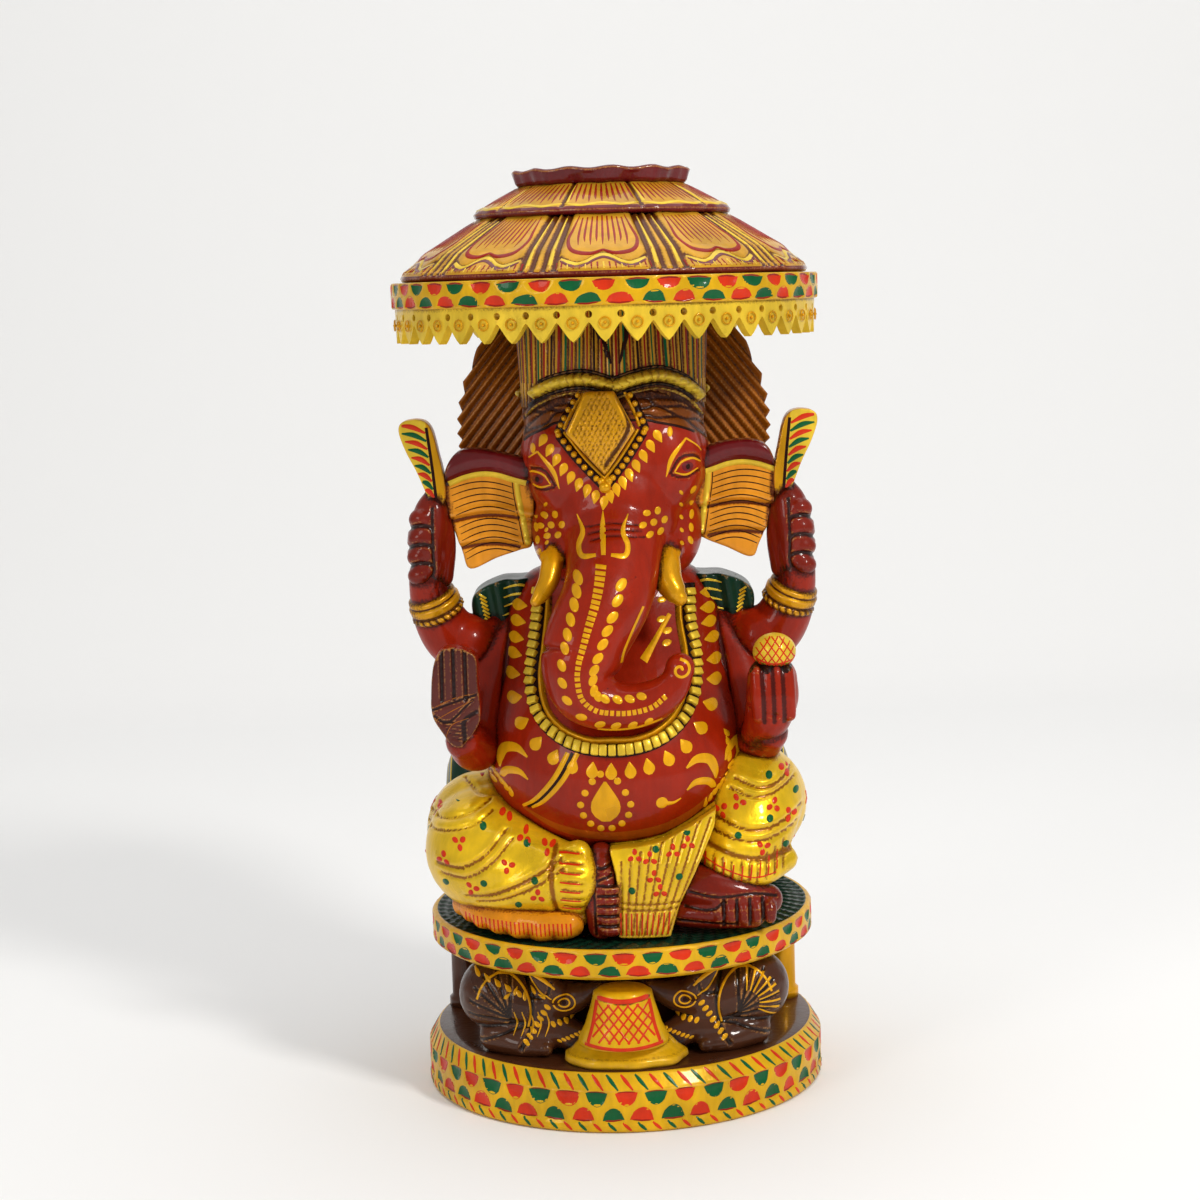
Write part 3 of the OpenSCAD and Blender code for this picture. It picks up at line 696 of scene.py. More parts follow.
def wavy(bm, count, low_z, high_z, size):
    """Lets the lower edge of a tier swing in and out with its petals."""
    co, turn, reach = polar(bm)
    across = turn * count / math.tau
    across -= np.round(across)
    fade = np.clip((high_z - co[:, 2]) / (high_z - low_z), 0, 1)
    lobe = np.cos(across * math.tau) + 0.3 * np.cos(across * 3 * math.tau)
    co[:, :2] *= (1 + size * lobe * fade / np.maximum(reach, 1) * (reach > 15))[:, None]
    set_coords(bm, co)


def seams(bm, count, gaps, low_z, width, depth):
    """Cuts radial grooves between petals, at the given parts of a petal's width."""
    co, turn, reach = polar(bm)
    across = turn * count / math.tau
    across = np.abs(across - np.round(across))
    arc = math.tau * reach / count
    near = sum(np.exp(-(((across - gap) * arc / width) ** 2)) for gap in gaps)
    near *= (co[:, 2] > low_z) * (reach > 15)
    co[:, 2] -= near * depth
    set_coords(bm, co)
    mark(bm, near)


PETALS = 10
low, high = span("lower_roof")
roof_low, roof_high = low.z, high.z
eave = rim_r - 3.2
shoulder = span("upper_roof")[1].x
roof = turned(
    [(0, roof_low), (eave - 3, roof_low)]
    + filled([(eave - 0.6, roof_low + 0.2), (eave, roof_low + 1.4), (eave - 1, roof_low + 3.2)], 0.8)
    + filled([(eave - 1.6, roof_low + 3.4), (eave - 8, roof_low + 9), (shoulder - 1.5, roof_high)], 0.8)
    + [(30, roof_high), (0, roof_high)],
    540,
)
wavy(roof, PETALS, roof_low, roof_low + 9, 0.8)
seams(roof, PETALS, (0.37, 0.455), roof_low + 2.5, 0.95, 1.1)
co, turn, reach = polar(roof)
across = turn * PETALS / math.tau
across = np.abs(across - np.round(across))
# The step along each petal's crest is darkened: painted shade in the step.
brow = roof_low + 6.0 + 1.4 * np.cos(across * math.tau * 2.6) - 4 * across**2
step = np.exp(-(((co[:, 2] - brow) / 0.55) ** 2)) * (across < 0.35) * (reach > 40)
co[:, 2] -= step * 0.7
set_coords(roof, co)
mark(roof, step)
paint_faces(roof, lambda mid, out: mid.z < roof_low + 2.2)
roof_side = around(tree_of(roof), eave)
piece("lower_roof_petals", roof, [roof_gold, maroon], ["lower_roof"])
marks = bmesh.new()
sector = math.tau * eave / PETALS
for k in range(PETALS):
    mid = k * sector
    for way in (-1, 1):
        lobe = [(mid, roof_low + 8.3), (mid + way * 4.5, roof_low + 7.2),
                (mid + way * 10.5, roof_low + 8.2), (mid + way * 13, roof_low + 11.5),
                (mid + way * 12.2, roof_low + 15), (mid + way * 11, roof_high - 0.8)]
        thin(marks, roof_side, lobe, [0.35, 0.55, 0.6, 0.6, 0.5, 0.2], n=22)
    for j in range(-4, 5):
        top = roof_high - 0.9 - 0.15 * abs(j)
        vein = [(mid + j * 2.3, top), (mid + j * 2.35, roof_low + 13),
                (mid + j * 2.2, roof_low + 9.9 + (j % 2))]
        thin(marks, roof_side, vein, [0.34, 0.46, 0.12], n=9, lift=0.12)
    for j in range(-9, 10):
        u = mid + j * 1.9
        thin(marks, roof_side, [(u, roof_low + 4.6), (u + 0.2, roof_low + 2.6)], [0.3, 0.2], n=4,
             paint=0 if j % 3 else 1)
    crest = [(mid + s * 14, roof_low + 5.6 + 1.3 * math.cos(s * 5.4) - 0.6 * s * s)
             for s in np.linspace(-1, 1, 11)]
    thin(marks, roof_side, crest, [0.2] + [0.45] * 9 + [0.2], n=36, lift=0.4, paint=1)
    # A maroon line under each crest: painted shadow under the lip.
    under = [(u, v - 0.75) for u, v in crest]
    thin(marks, roof_side, under, [0.2] + [0.5] * 9 + [0.2], n=36, lift=0.15, paint=2)
    for gap in (-0.41, 0.41):
        u = mid + gap * sector
        thin(marks, roof_side, [(u, roof_low + 4), (u, roof_high - 1.5)], [0.7, 0.3], n=9, paint=1)
piece("lower_roof_marks", marks, [wine_line, pale_gold, maroon], sheet=0.3)

low, high = span("upper_roof")
top_low, top_high = low.z, high.z
crest_r = span("canopy_cap")[1].x
upper = turned(
    [(0, top_low - 0.5), (shoulder - 4, top_low - 0.5)]
    + filled([(shoulder - 0.5, top_low), (shoulder, top_low + 1.2), (shoulder - 1, top_low + 2.4)], 0.7)
    + filled([(shoulder - 1.8, top_low + 2.8), (crest_r - 2, top_high)], 0.7)
    + [(20, top_high), (0, top_high)],
    400,
)
wavy(upper, PETALS, top_low - 0.5, top_low + 6, 0.7)
seams(upper, PETALS, (0.5,), top_low + 2.0, 0.7, 0.7)
paint_faces(upper, lambda mid, out: mid.z < top_low + 2.3)
upper_side = around(tree_of(upper), shoulder)
piece("upper_roof_petals", upper, [roof_gold, maroon], ["upper_roof"])
marks = bmesh.new()
sector = math.tau * shoulder / PETALS
for k in range(PETALS):
    mid = k * sector
    for j in range(-5, 6):
        u = mid + j * 2.25
        vein = [(u, top_high - 0.5), (u, top_low + 6), (u + 0.2, top_low + 3.6 + (j % 2) * 0.8)]
        thin(marks, upper_side, vein, [0.3, 0.5, 0.14], n=8, lift=0.12)
    crest = [(mid + s * sector * 0.48, top_low + 2.9 + 0.35 * math.cos(s * 6))
             for s in np.linspace(-1, 1, 9)]
    thin(marks, upper_side, crest, [0.2] + [0.35] * 7 + [0.2], n=24, lift=0.35, paint=1)
    u = mid + (0.5 + 0.05) * sector
    thin(marks, upper_side, [(u, top_low + 3.4), (u, top_high - 1)], [0.6, 0.3], n=6, lift=0.3, paint=1)
piece("upper_roof_marks", marks, [wine_line, pale_gold], sheet=0.3)

low, high = span("canopy_cap")
cap = turned(
    [(0, low.z - 0.3), (crest_r - 2.5, low.z - 0.3)]
    + filled([(crest_r - 1.2, low.z + 0.8), (crest_r, high.z - 0.6), (crest_r - 0.8, high.z)], 0.7)
    + filled([(crest_r - 3.5, high.z - 0.3), (crest_r - 7, high.z - 2.6), (0, high.z - 2.6)], 1.0),
    300,
)
wavy(cap, PETALS, low.z - 0.3, high.z + 6, 0.8)
co, turn, reach = polar(cap)
co[:, 2] += (reach > crest_r - 5) * (co[:, 2] > high.z - 1.5) * 0.35 * np.sin(turn * 13)
set_coords(cap, co)
paint_faces(cap, lambda mid, out: mid.xy.length < crest_r - 2.6 and mid.z > low.z + 1)
piece("canopy_cap_carved", cap, [maroon, yellow], ["canopy_cap"])

# --- Halo ---
# A thin toothed board behind the head, cut with slanting ribs that end in its teeth.
low, high = span("halo")
halo_x, halo_r = (low.x + high.x) / 2, (high.x - low.x) / 2
halo_z = low.z + halo_r
halo = bmesh.new()
bmesh.ops.create_grid(halo, x_segments=150, y_segments=150, size=1)
co = coords(halo)
square = co[:, :2].copy()
bend = square * np.sqrt(1 - square[:, ::-1] ** 2 / 2)
px, pz = bend[:, 0] * (halo_r - 1.2), bend[:, 1] * (halo_r - 1.2)
slope = np.abs(px) * 0.78 + pz * 0.62
rib = np.abs(((slope / 2.9) % 1) - 0.5) * 2
edge = np.clip(np.hypot(px, pz) / halo_r, 0, 1) ** 14
px += bend[:, 0] * edge * (rib - 0.5) * 2.2
pz += bend[:, 1] * edge * (rib - 0.5) * 2.2
px *= 1 - 0.62 * np.clip((-pz - 14) / 22, 0, 1)
pz = np.minimum(pz + halo_z, high.z)
set_coords(halo, np.stack([px + halo_x, low.y + 1.3 * (1 - rib), pz], 1))
mark(halo, np.clip(0.62 - rib * 0.9, 0, 1))
grown = bmesh.ops.extrude_face_region(halo, geom=halo.faces[:], use_keep_orig=True)
backs = [v for v in grown["geom"] if isinstance(v, bmesh.types.BMVert)]
bmesh.ops.translate(halo, vec=(0, high.y - low.y - 1.3, 0), verts=backs)
bmesh.ops.recalc_face_normals(halo, faces=halo.faces)
piece("halo_ribbed", halo, [ochre], ["halo"])

# --- Torso ---
# The round belly and the shoulders are one carved block in brick red enamel.
# Painted shade and dark stain darken the crease under the belly and the skin beside the arms.


def ball(bm, at, size, turn=(0, 0, 0), rings=3):
    size = (size,) * 3 if isinstance(size, (int, float)) else size
    swing = (Matrix.Rotation(turn[2], 4, "Z") @ Matrix.Rotation(turn[1], 4, "Y")
             @ Matrix.Rotation(turn[0], 4, "X"))
    shape = Matrix.Translation(at) @ swing @ Matrix.Diagonal((*size, 1))
    bmesh.ops.create_icosphere(bm, subdivisions=rings, radius=1, matrix=shape)


def worm(bm, path, radii, n=24, rings=26):
    """A rounded limb: a tube that swells along a smooth path, with a ball at each end."""
    line, size = eased(path, n), eased(radii, n)[:, 0]
    ahead = np.gradient(line, axis=0)
    made = bmesh.ops.create_grid(bm, x_segments=n - 1, y_segments=rings, size=1)
    for k, v in enumerate(made["verts"]):
        i, turn = k % n, k // n * math.tau / rings
        t = Vector(ahead[i]).normalized()
        side = t.orthogonal().normalized() if abs(t.z) > 0.95 else t.cross(Vector((0, 0, 1))).normalized()
        r = size[i] if 0 < i < n - 1 else 0.01
        v.co = Vector(line[i]) + (side * math.cos(turn) + t.cross(side) * math.sin(turn)) * r
    for at, r in ((line[0], size[0]), (line[-1], size[-1])):
        ball(bm, tuple(at), r)


def fused(bm, voxel, rounds=6):
    """Melts overlapping shapes into one skin and rounds it off."""
    data = bpy.data.meshes.new("raw")
    bm.to_mesh(data)
    bm.free()
    raw = bpy.data.objects.new("raw", data)
    scene.collection.objects.link(raw)
    skin = raw.modifiers.new("skin", "REMESH")
    skin.mode = "VOXEL"
    skin.voxel_size = voxel
    out = bmesh.new()
    out.from_object(raw, bpy.context.evaluated_depsgraph_get())
    bpy.data.objects.remove(raw)
    for _ in range(rounds):
        bmesh.ops.smooth_vert(out, verts=out.verts, factor=0.5, use_axis_x=True, use_axis_y=True,
                              use_axis_z=True)
    out.normal_update()
    return out


def nearest(points, lines, gap=0.4):
    """Distance from each point to the closest of some curves."""
    best = np.full(len(points), 1e9)
    for line in lines:
        line = np.array(line, float)
        length = np.linalg.norm(np.diff(line, axis=0), axis=1).sum()
        for spot in eased(line, max(4, int(length / gap))):
            best = np.minimum(best, ((points - spot) ** 2).sum(1))
    return np.sqrt(best)


def carve(bm, lines, width, depth, toward=(0, -1, 0), stain_and_shade=1.0, where=None):
    """Cuts V grooves that follow lines drawn on the front (x, z) or in space (x, y, z)."""
    bm.normal_update()
    co = coords(bm)
    normals = np.array([v.normal for v in bm.verts])
    flat = co if len(lines[0][0]) == 3 else co[:, [0, 2]]
    amount = np.exp(-((nearest(flat, lines) / width) ** 2)) * (normals @ np.array(toward) > 0.1)
    if where is not None:
        amount = amount * where(co)
    set_coords(bm, co - normals * (amount * depth)[:, None])
    # The groove is darkened: dark wash, and painted shade in the groove.
    mark(bm, amount * stain_and_shade)


def hollows(bm, strength=0.9, floor=0.05):
    """Marks the hollows of a shape for darkening: dark wash, and painted shade in the recesses."""
    bm.normal_update()
    values = []
    for v in bm.verts:
        around_it = Vector()
        for e in v.link_edges:
            around_it += e.other_vert(v).co
        around_it /= max(1, len(v.link_edges))
        values.append(max(0, (around_it - v.co).dot(v.normal) - floor) * 12 * strength)
    mark(bm, np.clip(values, 0, 1))


def lathe_levels(levels, steps, rows):
    """A skin through level ovals, each (height, centre depth, half width, half depth)."""
    line = eased(levels, rows)
    bm = turned([(0, -1)] + [(1, k) for k in range(rows)] + [(0, rows)], steps)
    co = coords(bm)
    k = np.clip(np.round(co[:, 2]).astype(int), 0, rows - 1)
    z, cy, w, d = line[k].T
    set_coords(bm, np.stack([co[:, 0] * w, cy + co[:, 1] * d, z], 1))
    return bm


low, high = span("torso")
neck_z = high.z
chest = neck_z - seat_top
belly = lathe_levels(
    [(seat_top + a * chest, b, c, d) for a, b, c, d in (
        (0, 4, 28, 22), (0.14, 3, 31, 27), (0.22, 0, 34.5, 34), (0.27, -4, 38.5, 39.5),
        (0.34, -6, 41.8, 42.5), (0.42, -7.5, 43.6, 43.5), (0.50, -8, 43.6, 42.5), (0.58, -8, 42, 39.5),
        (0.66, -6, 39.4, 34.5), (0.74, -3, 37, 29), (0.81, 0, 36.8, 25), (0.88, 2.5, 36.4, 21.5),
        (0.94, 4, 34, 19), (1, 4, 28, 17), (1.03, 4, 20, 14))],
    220, 150,
)
bmesh.ops.recalc_face_normals(belly, faces=belly.faces)
carve(belly, [[(-30, 8 + seat_top + 26), (-22, seat_top + 27), (0, seat_top + 25), (22, seat_top + 27),
               (32, seat_top + 36)]],
      1.4, 1.0, stain_and_shade=1.0)
on_belly = facing(tree_of(belly))
piece("torso_carved", belly, [red], ["torso"])

# --- Necklace ---
# A long raised collar carved on the chest: a smooth gold inner rim and a row of square beads.
necklace_line = [(-24.6, 168), (-24.8, 161), (-26.2, 150), (-27.4, 140), (-25.6, 131.5), (-20.5, 125.6),
                 (-12.5, 121.6), (-2.5, 120.2), (7.5, 120.9), (15.6, 123.7), (21.8, 128.7), (25.6, 136),
                 (26.4, 146), (25, 157), (25.4, 168)]
curve, _, run = paced(necklace_line, 400)
strip = bmesh.new()
daub(strip, on_belly, necklace_line, 2.15, n=120, across=6, lift=1.0, paint=1)
inner = [(x - 3.4 * np.sign(x) * min(1, abs(x) / 12), z + 3.4 * (1 - min(1, abs(x) / 27)))
         for x, z in necklace_line]
daub(strip, on_belly, inner, 1.15, n=120, across=6, lift=1.7)
piece("necklace_rim", strip, [gold, black_line], ["necklace"], sheet=0.8)
beads = bmesh.new()
for s in np.arange(1.4, run[-1] - 1, 2.75):
    i = int(np.searchsorted(run, s))
    x, z = curve[i]
    hit = on_belly(x, z)
    if hit is None:
        continue
    ahead = curve[min(i + 2, 399)] - curve[max(i - 2, 0)]
    n = hit[1]
    t = Vector((ahead[0], 0, ahead[1]))
    t = (t - n * t.dot(n)).normalized()
    frame_of = Matrix((t, n.cross(t), n)).transposed().to_4x4()
    bmesh.ops.create_cube(
        beads, size=1, matrix=Matrix.Translation(hit[0] + n * 0.9) @ frame_of
        @ Matrix.Diagonal((2.5, 3.6, 2.4, 1))
    )
bmesh.ops.bevel(beads, geom=beads.edges[:], offset=0.42, segments=2, profile=0.5, affect="EDGES",
                material=-1)
piece("necklace_beads", beads, [pale_gold])

# --- Head and trunk ---
# One block from crown to trunk tip. The brow is broad and flat, the cheeks fall to the trunk,
# which swings to the figure's right, turns back along the belly and ends in a small coil.
hx = (span("crown")[0].x + span("crown")[1].x) / 2


def up(level, points):
    """Raises points given by their height above a level."""
    return [(*point[:-1], level + point[-1]) for point in points]


body = bmesh.new()
ball(body, (hx, -6, neck_z + 40), (31.5, 26, 31))
ball(body, (hx, -6, neck_z + 54), (30.5, 24.5, 22))
ball(body, (hx, -15, neck_z + 41), (28, 18.5, 30))
ball(body, (hx, -18.5, neck_z + 23), (21.5, 17.5, 24))
for way in (-1, 1):
    ball(body, (hx + way * 15, -8, neck_z + 15), (13.5, 17, 17))
    ball(body, (hx + way * 14, -17, neck_z + 38), (15, 15, 19))
ball(body, (hx, 0, neck_z + 8), (20, 16, 14))
trunk_path = up(neck_z, [(hx, -16, 26), (hx - 0.2, -21, 18), (hx - 1.0, -28, 9), (hx - 2.4, -35, 1),
                         (-3, -41, -6), (-8.4, -46, -16), (-10.8, -48.5, -25), (-9.2, -50.5, -32.5),
                         (-2.5, -51.5, -36.6), (6, -51.5, -37.2), (13, -51, -35.3), (18, -50.5, -31.5),
                         (20.3, -50, -27.5)])
worm(body, trunk_path, [17, 16.6, 15.8, 15, 14.4, 13.6, 12.7, 10.6, 8.4, 7.3, 6.6, 5.4, 4.6], n=90)
ball(body, (20.6, -50.5, neck_z - 25.5), 4.9)
for way in (-1, 1):
    ball(body, (hx + way * 16, -22, neck_z + 9), (5.5, 6, 6))
head = fused(body, 0.75, 7)
eyes = [(-23.6, neck_z + 33.5, -1), (25.6, neck_z + 36.5, 1)]
for ex, ez, way in eyes:
    co = coords(head)
    gap = np.hypot((co[:, 0] - ex) / 4.8, (co[:, 2] - ez) / 3.2)
    sink = np.exp(-(gap**2) * 0.9) * (co[:, 1] < 0)
    co[:, 1] += sink * 1.3
    co[:, 0] -= way * sink * 0.7
    set_coords(head, co)
sides = lambda co: (co[:, 1] < 6)
for ex, ez, way in eyes:
    carve(head, [[(ex - way * 5.8, ez - 2), (ex - way * 2.6, ez + 2.6), (ex + way * 1.8, ez + 3.3),
                  (ex + way * 5, ez + 1)]],
          0.5, 0.8, toward=(0, -0.3, 0), where=sides)
    carve(head, [[(ex - way * 5.4, ez - 2.6), (ex - way * 1, ez - 3.5), (ex + way * 4, ez - 1.6)]],
          0.45, 0.5, toward=(0, -0.3, 0), where=sides)
wrinkles = [[(hx - 10.5 + k, neck_z + 18.6 - 1.9 * k), (hx - 2, neck_z + 19.9 - 1.9 * k),
             (hx + 7 + k, neck_z + 18.9 - 1.9 * k)]
            for k in range(3)]
carve(head, wrinkles, 0.42, 0.35, stain_and_shade=0.75)
trunk_front = [(x, z) for x, y, z in trunk_path]
for s in np.linspace(0.24, 0.62, 9):
    spot = eased(trunk_front, 100)[int(s * 99)]
    carve(head, [[(spot[0] + 4, spot[1] - 0.6), (spot[0] + 7.5, spot[1] + 0.9)]], 0.35, 0.25, stain_and_shade=0.4)
cloth_edge = up(neck_z, [(-31, 42), (-26, 47), (-20, 50), (-14, 52), (10, 52), (16, 51), (24, 49), (30, 46),
                         (36, 40)])
edge_x, edge_z = zip(*cloth_edge)
strands = []
for k in range(8):
    rise = 2.2 + k * 1.9
    strands.append([(x, z + rise + 1.1 * math.sin(x * 0.35 + k * 2.3)) for x, z in cloth_edge])
carve(head, strands, 0.5, 0.6, stain_and_shade=0.85)
hollows(head, 0.5, 0.08)
for face in head.faces:
    mid = face.calc_center_median()
    behind = min(1, max(0, (mid.y + 6) / 14))
    limit = np.interp(mid.x, edge_x, edge_z) * (1 - behind) + (neck_z + 38) * behind
    face.material_index = 1 if mid.z > limit else 0
on_head = facing(tree_of(head))
headcloth = enamel("headcloth_gold", (124, 62, 11), stain_and_shade=(40, 10, 5), metal=0.2)
piece("head_carved", head, [red, headcloth], ["head"])

# --- Brush marks on the head ---
# Gold teardrops, dot flowers, the mark on the brow, the ladder down the trunk and the eyes.
marks = bmesh.new()
thin(marks, on_head, [(x, z - 0.1) for x, z in cloth_edge], 0.4, n=60, paint=1)
arm_left = up(neck_z, [(-21.2, 46), (-12.5, 34), (-2, 26)])
arm_right = up(neck_z, [(-2, 26), (6.5, 34.5), (16, 46.5)])
for arm, lean in ((arm_left, 0.5), (arm_right, -0.5)):
    for k, (x, z) in enumerate(eased(arm, 9)):
        if arm is arm_right and k == 0:
            continue
        tear(marks, on_head, x, z, 4.5, 2.7, math.pi + lean * (0.35 + 0.1 * abs(x + 2) / 2.5))
for x, z in ((19.8, neck_z + 47.8), (-24.5, neck_z + 43.5)):
    dot(marks, on_head, x, z, 0.9, tall=1.8)
for cx, cz in ((-19.4, neck_z + 18.2), (13.8, neck_z + 19.2)):
    dot(marks, on_head, cx, cz, 1.15)
    for k in range(6):
        a = k * math.tau / 6 + 0.4
        dot(marks, on_head, cx + 3.6 * math.sin(a), cz + 3.9 * math.cos(a), 1.0, tall=1.3, lean=a * 0.3)
mark_low = neck_z + 10.5
for way in (-1, 1):
    prong = [(-2.6 + way * 8.2, neck_z + 22.5), (-2.6 + way * 6.4, neck_z + 17.5),
             (-2.6 + way * 7.8, neck_z + 13.2), (-2.6 + way * 6.8, mark_low - 0.4),
             (-2.6 + way * 2.4, mark_low)]
    daub(marks, on_head, prong, [0.15, 0.75, 0.8, 0.85, 0.5], n=22)
daub(marks, on_head, [(-2.4, neck_z + 23.5), (-2.6, neck_z + 18), (-2.6, mark_low)], [0.15, 0.9, 0.7], n=14)
ladder = up(neck_z, [(-3.4, 7.8), (-4.2, 2), (-5.6, -4), (-7.8, -10.5), (-9.8, -17), (-11.3, -22),
                     (-11.8, -27), (-10.6, -33), (-6.5, -36.8), (-0.5, -38), (5.5, -38), (11.4, -36.6),
                     (15.6, -33.6)])
steps_line, ahead, run = paced(ladder)
for s in np.arange(0.6, run[-1], 1.75):
    i = min(int(np.searchsorted(run, s)), 299)
    part = s / run[-1]
    half = 3.4 - 1.7 * min(1, part * 2.2)
    side_way = np.array([-ahead[i][1], ahead[i][0]])
    a, b = steps_line[i] - side_way * half * 0.5, steps_line[i] + side_way * half * 0.5
    thin(marks, on_head, [a, b], 0.62, n=4, lift=0.3)
for s in np.arange(5, run[-1] - 4, 4.5):
    i = int(np.searchsorted(run, s))
    part = s / run[-1]
    side_way = np.array([-ahead[i][1], ahead[i][0]])
    lean = math.atan2(ahead[i][0], ahead[i][1])
    for way in (-1, 1):
        spot = steps_line[i] + side_way * way * (7.2 - 2.9 * min(1, part * 1.6))
        size = 1.55 - 0.5 * part
        dot(marks, on_head, spot[0], spot[1], size, tall=1.5, lean=lean + way * 0.5)
trunk_sides = (
    up(neck_z, [(-17.6, -4), (-21.9, -14), (-23.6, -25), (-22.4, -34), (-16, -41), (-6.5, -43.6),
                (5, -43.6), (14.5, -41)]),
    up(neck_z, [(9.6, -6), (6.0, -13), (2.6, -21), (2.6, -27), (7, -29.2), (12.4, -29)]),
)
for line in trunk_sides:
    thin(marks, on_head, line, 0.4, n=44, lift=0.15)
spiral = [(20.6 + r * math.sin(a), neck_z - 25.6 + r * math.cos(a))
          for a, r in zip(np.linspace(0, 8, 12), np.linspace(3.4, 0.4, 12))]
thin(marks, on_head, spiral, 0.45, n=40)
for ex, ez, way in eyes:
    daub(marks, on_head, [(ex - way * 7.4, ez - 3), (ex - way * 5.4, ez + 3), (ex - way * 0.6, ez + 9)],
         [0.15, 0.75, 0.3], n=16)
    thin(marks, on_head, [(ex - way * 0.6, ez + 9), (ex + way * 3.2, ez + 6.2), (ex + way * 5.4, ez + 3)],
         [0.3, 0.2, 0.15], n=14)
    lids = [(ex - way * 4.6, ez - 1.6), (ex - way * 2.2, ez + 1.5), (ex + way * 1.4, ez + 2.4),
            (ex + way * 4.2, ez + 1)]
    thin(marks, on_head, lids, [0.2, 0.34, 0.34, 0.2], n=18)
    thin(marks, on_head, [(ex - way * 4.6, ez - 1.8), (ex - way * 0.8, ez - 2.7), (ex + way * 3.2, ez - 1)],
         [0.2, 0.34, 0.2], n=14)
    dot(marks, on_head, ex - way * 0.3, ez - 0.2, 1.9, paint=2, tall=0.85)
    dot(marks, on_head, ex - way * 0.3, ez - 0.2, 1.0, paint=1, lift=0.5)
    for k in range(5):
        dot(marks, on_head, ex + way * (1.5 - 0.3 * k), ez - 8 - 4.2 * k, 0.8, tall=1.9,
            lean=way * (0.6 - 0.25 * k))
        dot(marks, on_head, ex - way * 2.6, ez - 8.5 - 4.2 * k, 0.55, tall=1.6, lean=-way * 0.6)
piece("head_brushwork", marks, [gold_line, black_line, maroon], sheet=0.3)

# --- Forehead jewel ---
# A raised kite-shaped plate cut with a fine cross-hatch, inside a border of small beads.


def slab(outline, front, back, voxel, rounds=3):
    """A thick plate cut to an outline seen from the front."""
    bm = bmesh.new()
    face = bm.faces.new([bm.verts.new((x, back, z)) for x, z in outline])
    grown = bmesh.ops.extrude_face_region(bm, geom=[face])
    top = [v for v in grown["geom"] if isinstance(v, bmesh.types.BMVert)]
    bmesh.ops.translate(bm, vec=(0, front - back, 0), verts=top)
    bmesh.ops.recalc_face_normals(bm, faces=bm.faces)
    return fused(bm, voxel, rounds)


def closed(outline, n):
    """A smooth closed outline through a few points."""
    return [tuple(p) for p in eased(outline + outline[:1], n)[:-1]]


kite = up(neck_z, [(-7.4, 61.5), (2.2, 61.5), (8.6, 49), (-1.4, 34.6), (-13.6, 48.5)])
plate = slab(kite, -35.4, -27, 0.5)
co = coords(plate)
bulge = 1 - np.clip(np.hypot((co[:, 0] + 2.5) / 12, (co[:, 2] - neck_z - 49) / 15), 0, 1)
co[:, 1] -= bulge * 1.6
lean = np.clip((co[:, 2] - neck_z - 49) / 14, -1, 1)
co[:, 1] += np.where(lean > 0, lean * 1.5, lean * -0.3)
set_coords(plate, co)
hatch = []
for k in range(-8, 9):
    hatch.append(up(neck_z, [(-14 + k * 1.7, 30), (4 + k * 1.7, 64)]))
    hatch.append(up(neck_z, [(9 + k * 1.7, 30), (-9 + k * 1.7, 64)]))
inner_kite = lambda co: (np.abs(co[:, 0] + 2.4) / 9.4 + np.abs(co[:, 2] - neck_z - 48.6) / 15.5 < 1) * 1.0
carve(plate, hatch, 0.3, 0.3, stain_and_shade=0.55, where=inner_kite)
carve(plate, [up(neck_z, [(3.4, 61.5), (6.6, 50), (-1, 38)])], 0.8, 0.8)
piece("forehead_plate", plate, [gold], ["forehead_jewel"])
beads = bmesh.new()
border = [up(neck_z, [(-15.8, 47.6), (-9.5, 39.5), (-2.2, 31.6)]),
          up(neck_z, [(-0.4, 31.8), (5.6, 39.6), (11.2, 48)]),
          up(neck_z, [(-9.2, 60), (-13, 54), (-16, 48.5)]), up(neck_z, [(7.2, 60), (10, 54), (11.8, 49)])]
rail = bmesh.new()
for line in border:
    daub(rail, on_head, line, 1.5, n=16, across=4, lift=0.5, paint=1)
    daub(rail, on_head, [(x + (1.9 if x < -1.5 else -1.9) * 0.9, z + 1.0) for x, z in line], 0.55, n=16,
         across=3, lift=1.0)
    length = sum(math.dist(a, b) for a, b in zip(line, line[1:]))
    for x, z in eased(line, int(length / 2.15)):
        hit = on_head(x, z)
        if hit:
            ball(beads, tuple(hit[0] + hit[1] * 0.7), (1.0, 1.0, 1.0))
for x, z, r in ((-1.4, neck_z + 30.8, 1.9), (-2.4, neck_z + 32.6, 1.3), (-0.2, neck_z + 32.8, 1.3)):
    hit = on_head(x, z)
    ball(beads, tuple(hit[0] + hit[1] * 0.8), r)
piece("forehead_beads", beads, [gold])
piece("forehead_rail", rail, [gold, black_line], sheet=0.5)

# --- Crown, browband and tusks ---
# A fluted drum of hair or cloth rises from the brow to the canopy, painted in thin stripes.
# A raised band crosses it above the jewel. The tusks are short plump pegs set in the cheeks.


def skin_of(*objs):
    """One surface, in millimetres, over several finished pieces."""
    bm = bmesh.new()
    for obj in objs:
        bm.from_mesh(obj.data)
    bmesh.ops.scale(bm, vec=(1000, 1000, 1000), verts=bm.verts)
    return BVHTree.FromBMesh(bm)


low, high = span("crown")
deck_z = high.z
drum = lathe_levels([(low.z - 7, -3.5, 30.6, 25.5), (low.z + 4, -3.6, 30.8, 25.0),
                     (low.z + 14, -3.5, 31.2, 24.2), (deck_z, -3.5, 31.8, 23.4)], 360, 40)
co = coords(drum)
turn = np.arctan2(co[:, 0], -(co[:, 1] + 3.5))
flute = np.abs(np.sin(turn * 33 + 0.3 * np.sin(turn * 7)))
co[:, 0] *= 1 - 0.022 * (1 - flute) ** 2
co[:, 1] = -3.5 + (co[:, 1] + 3.5) * (1 - 0.028 * (1 - flute) ** 2)
co[:, 0] += hx
set_coords(drum, co)
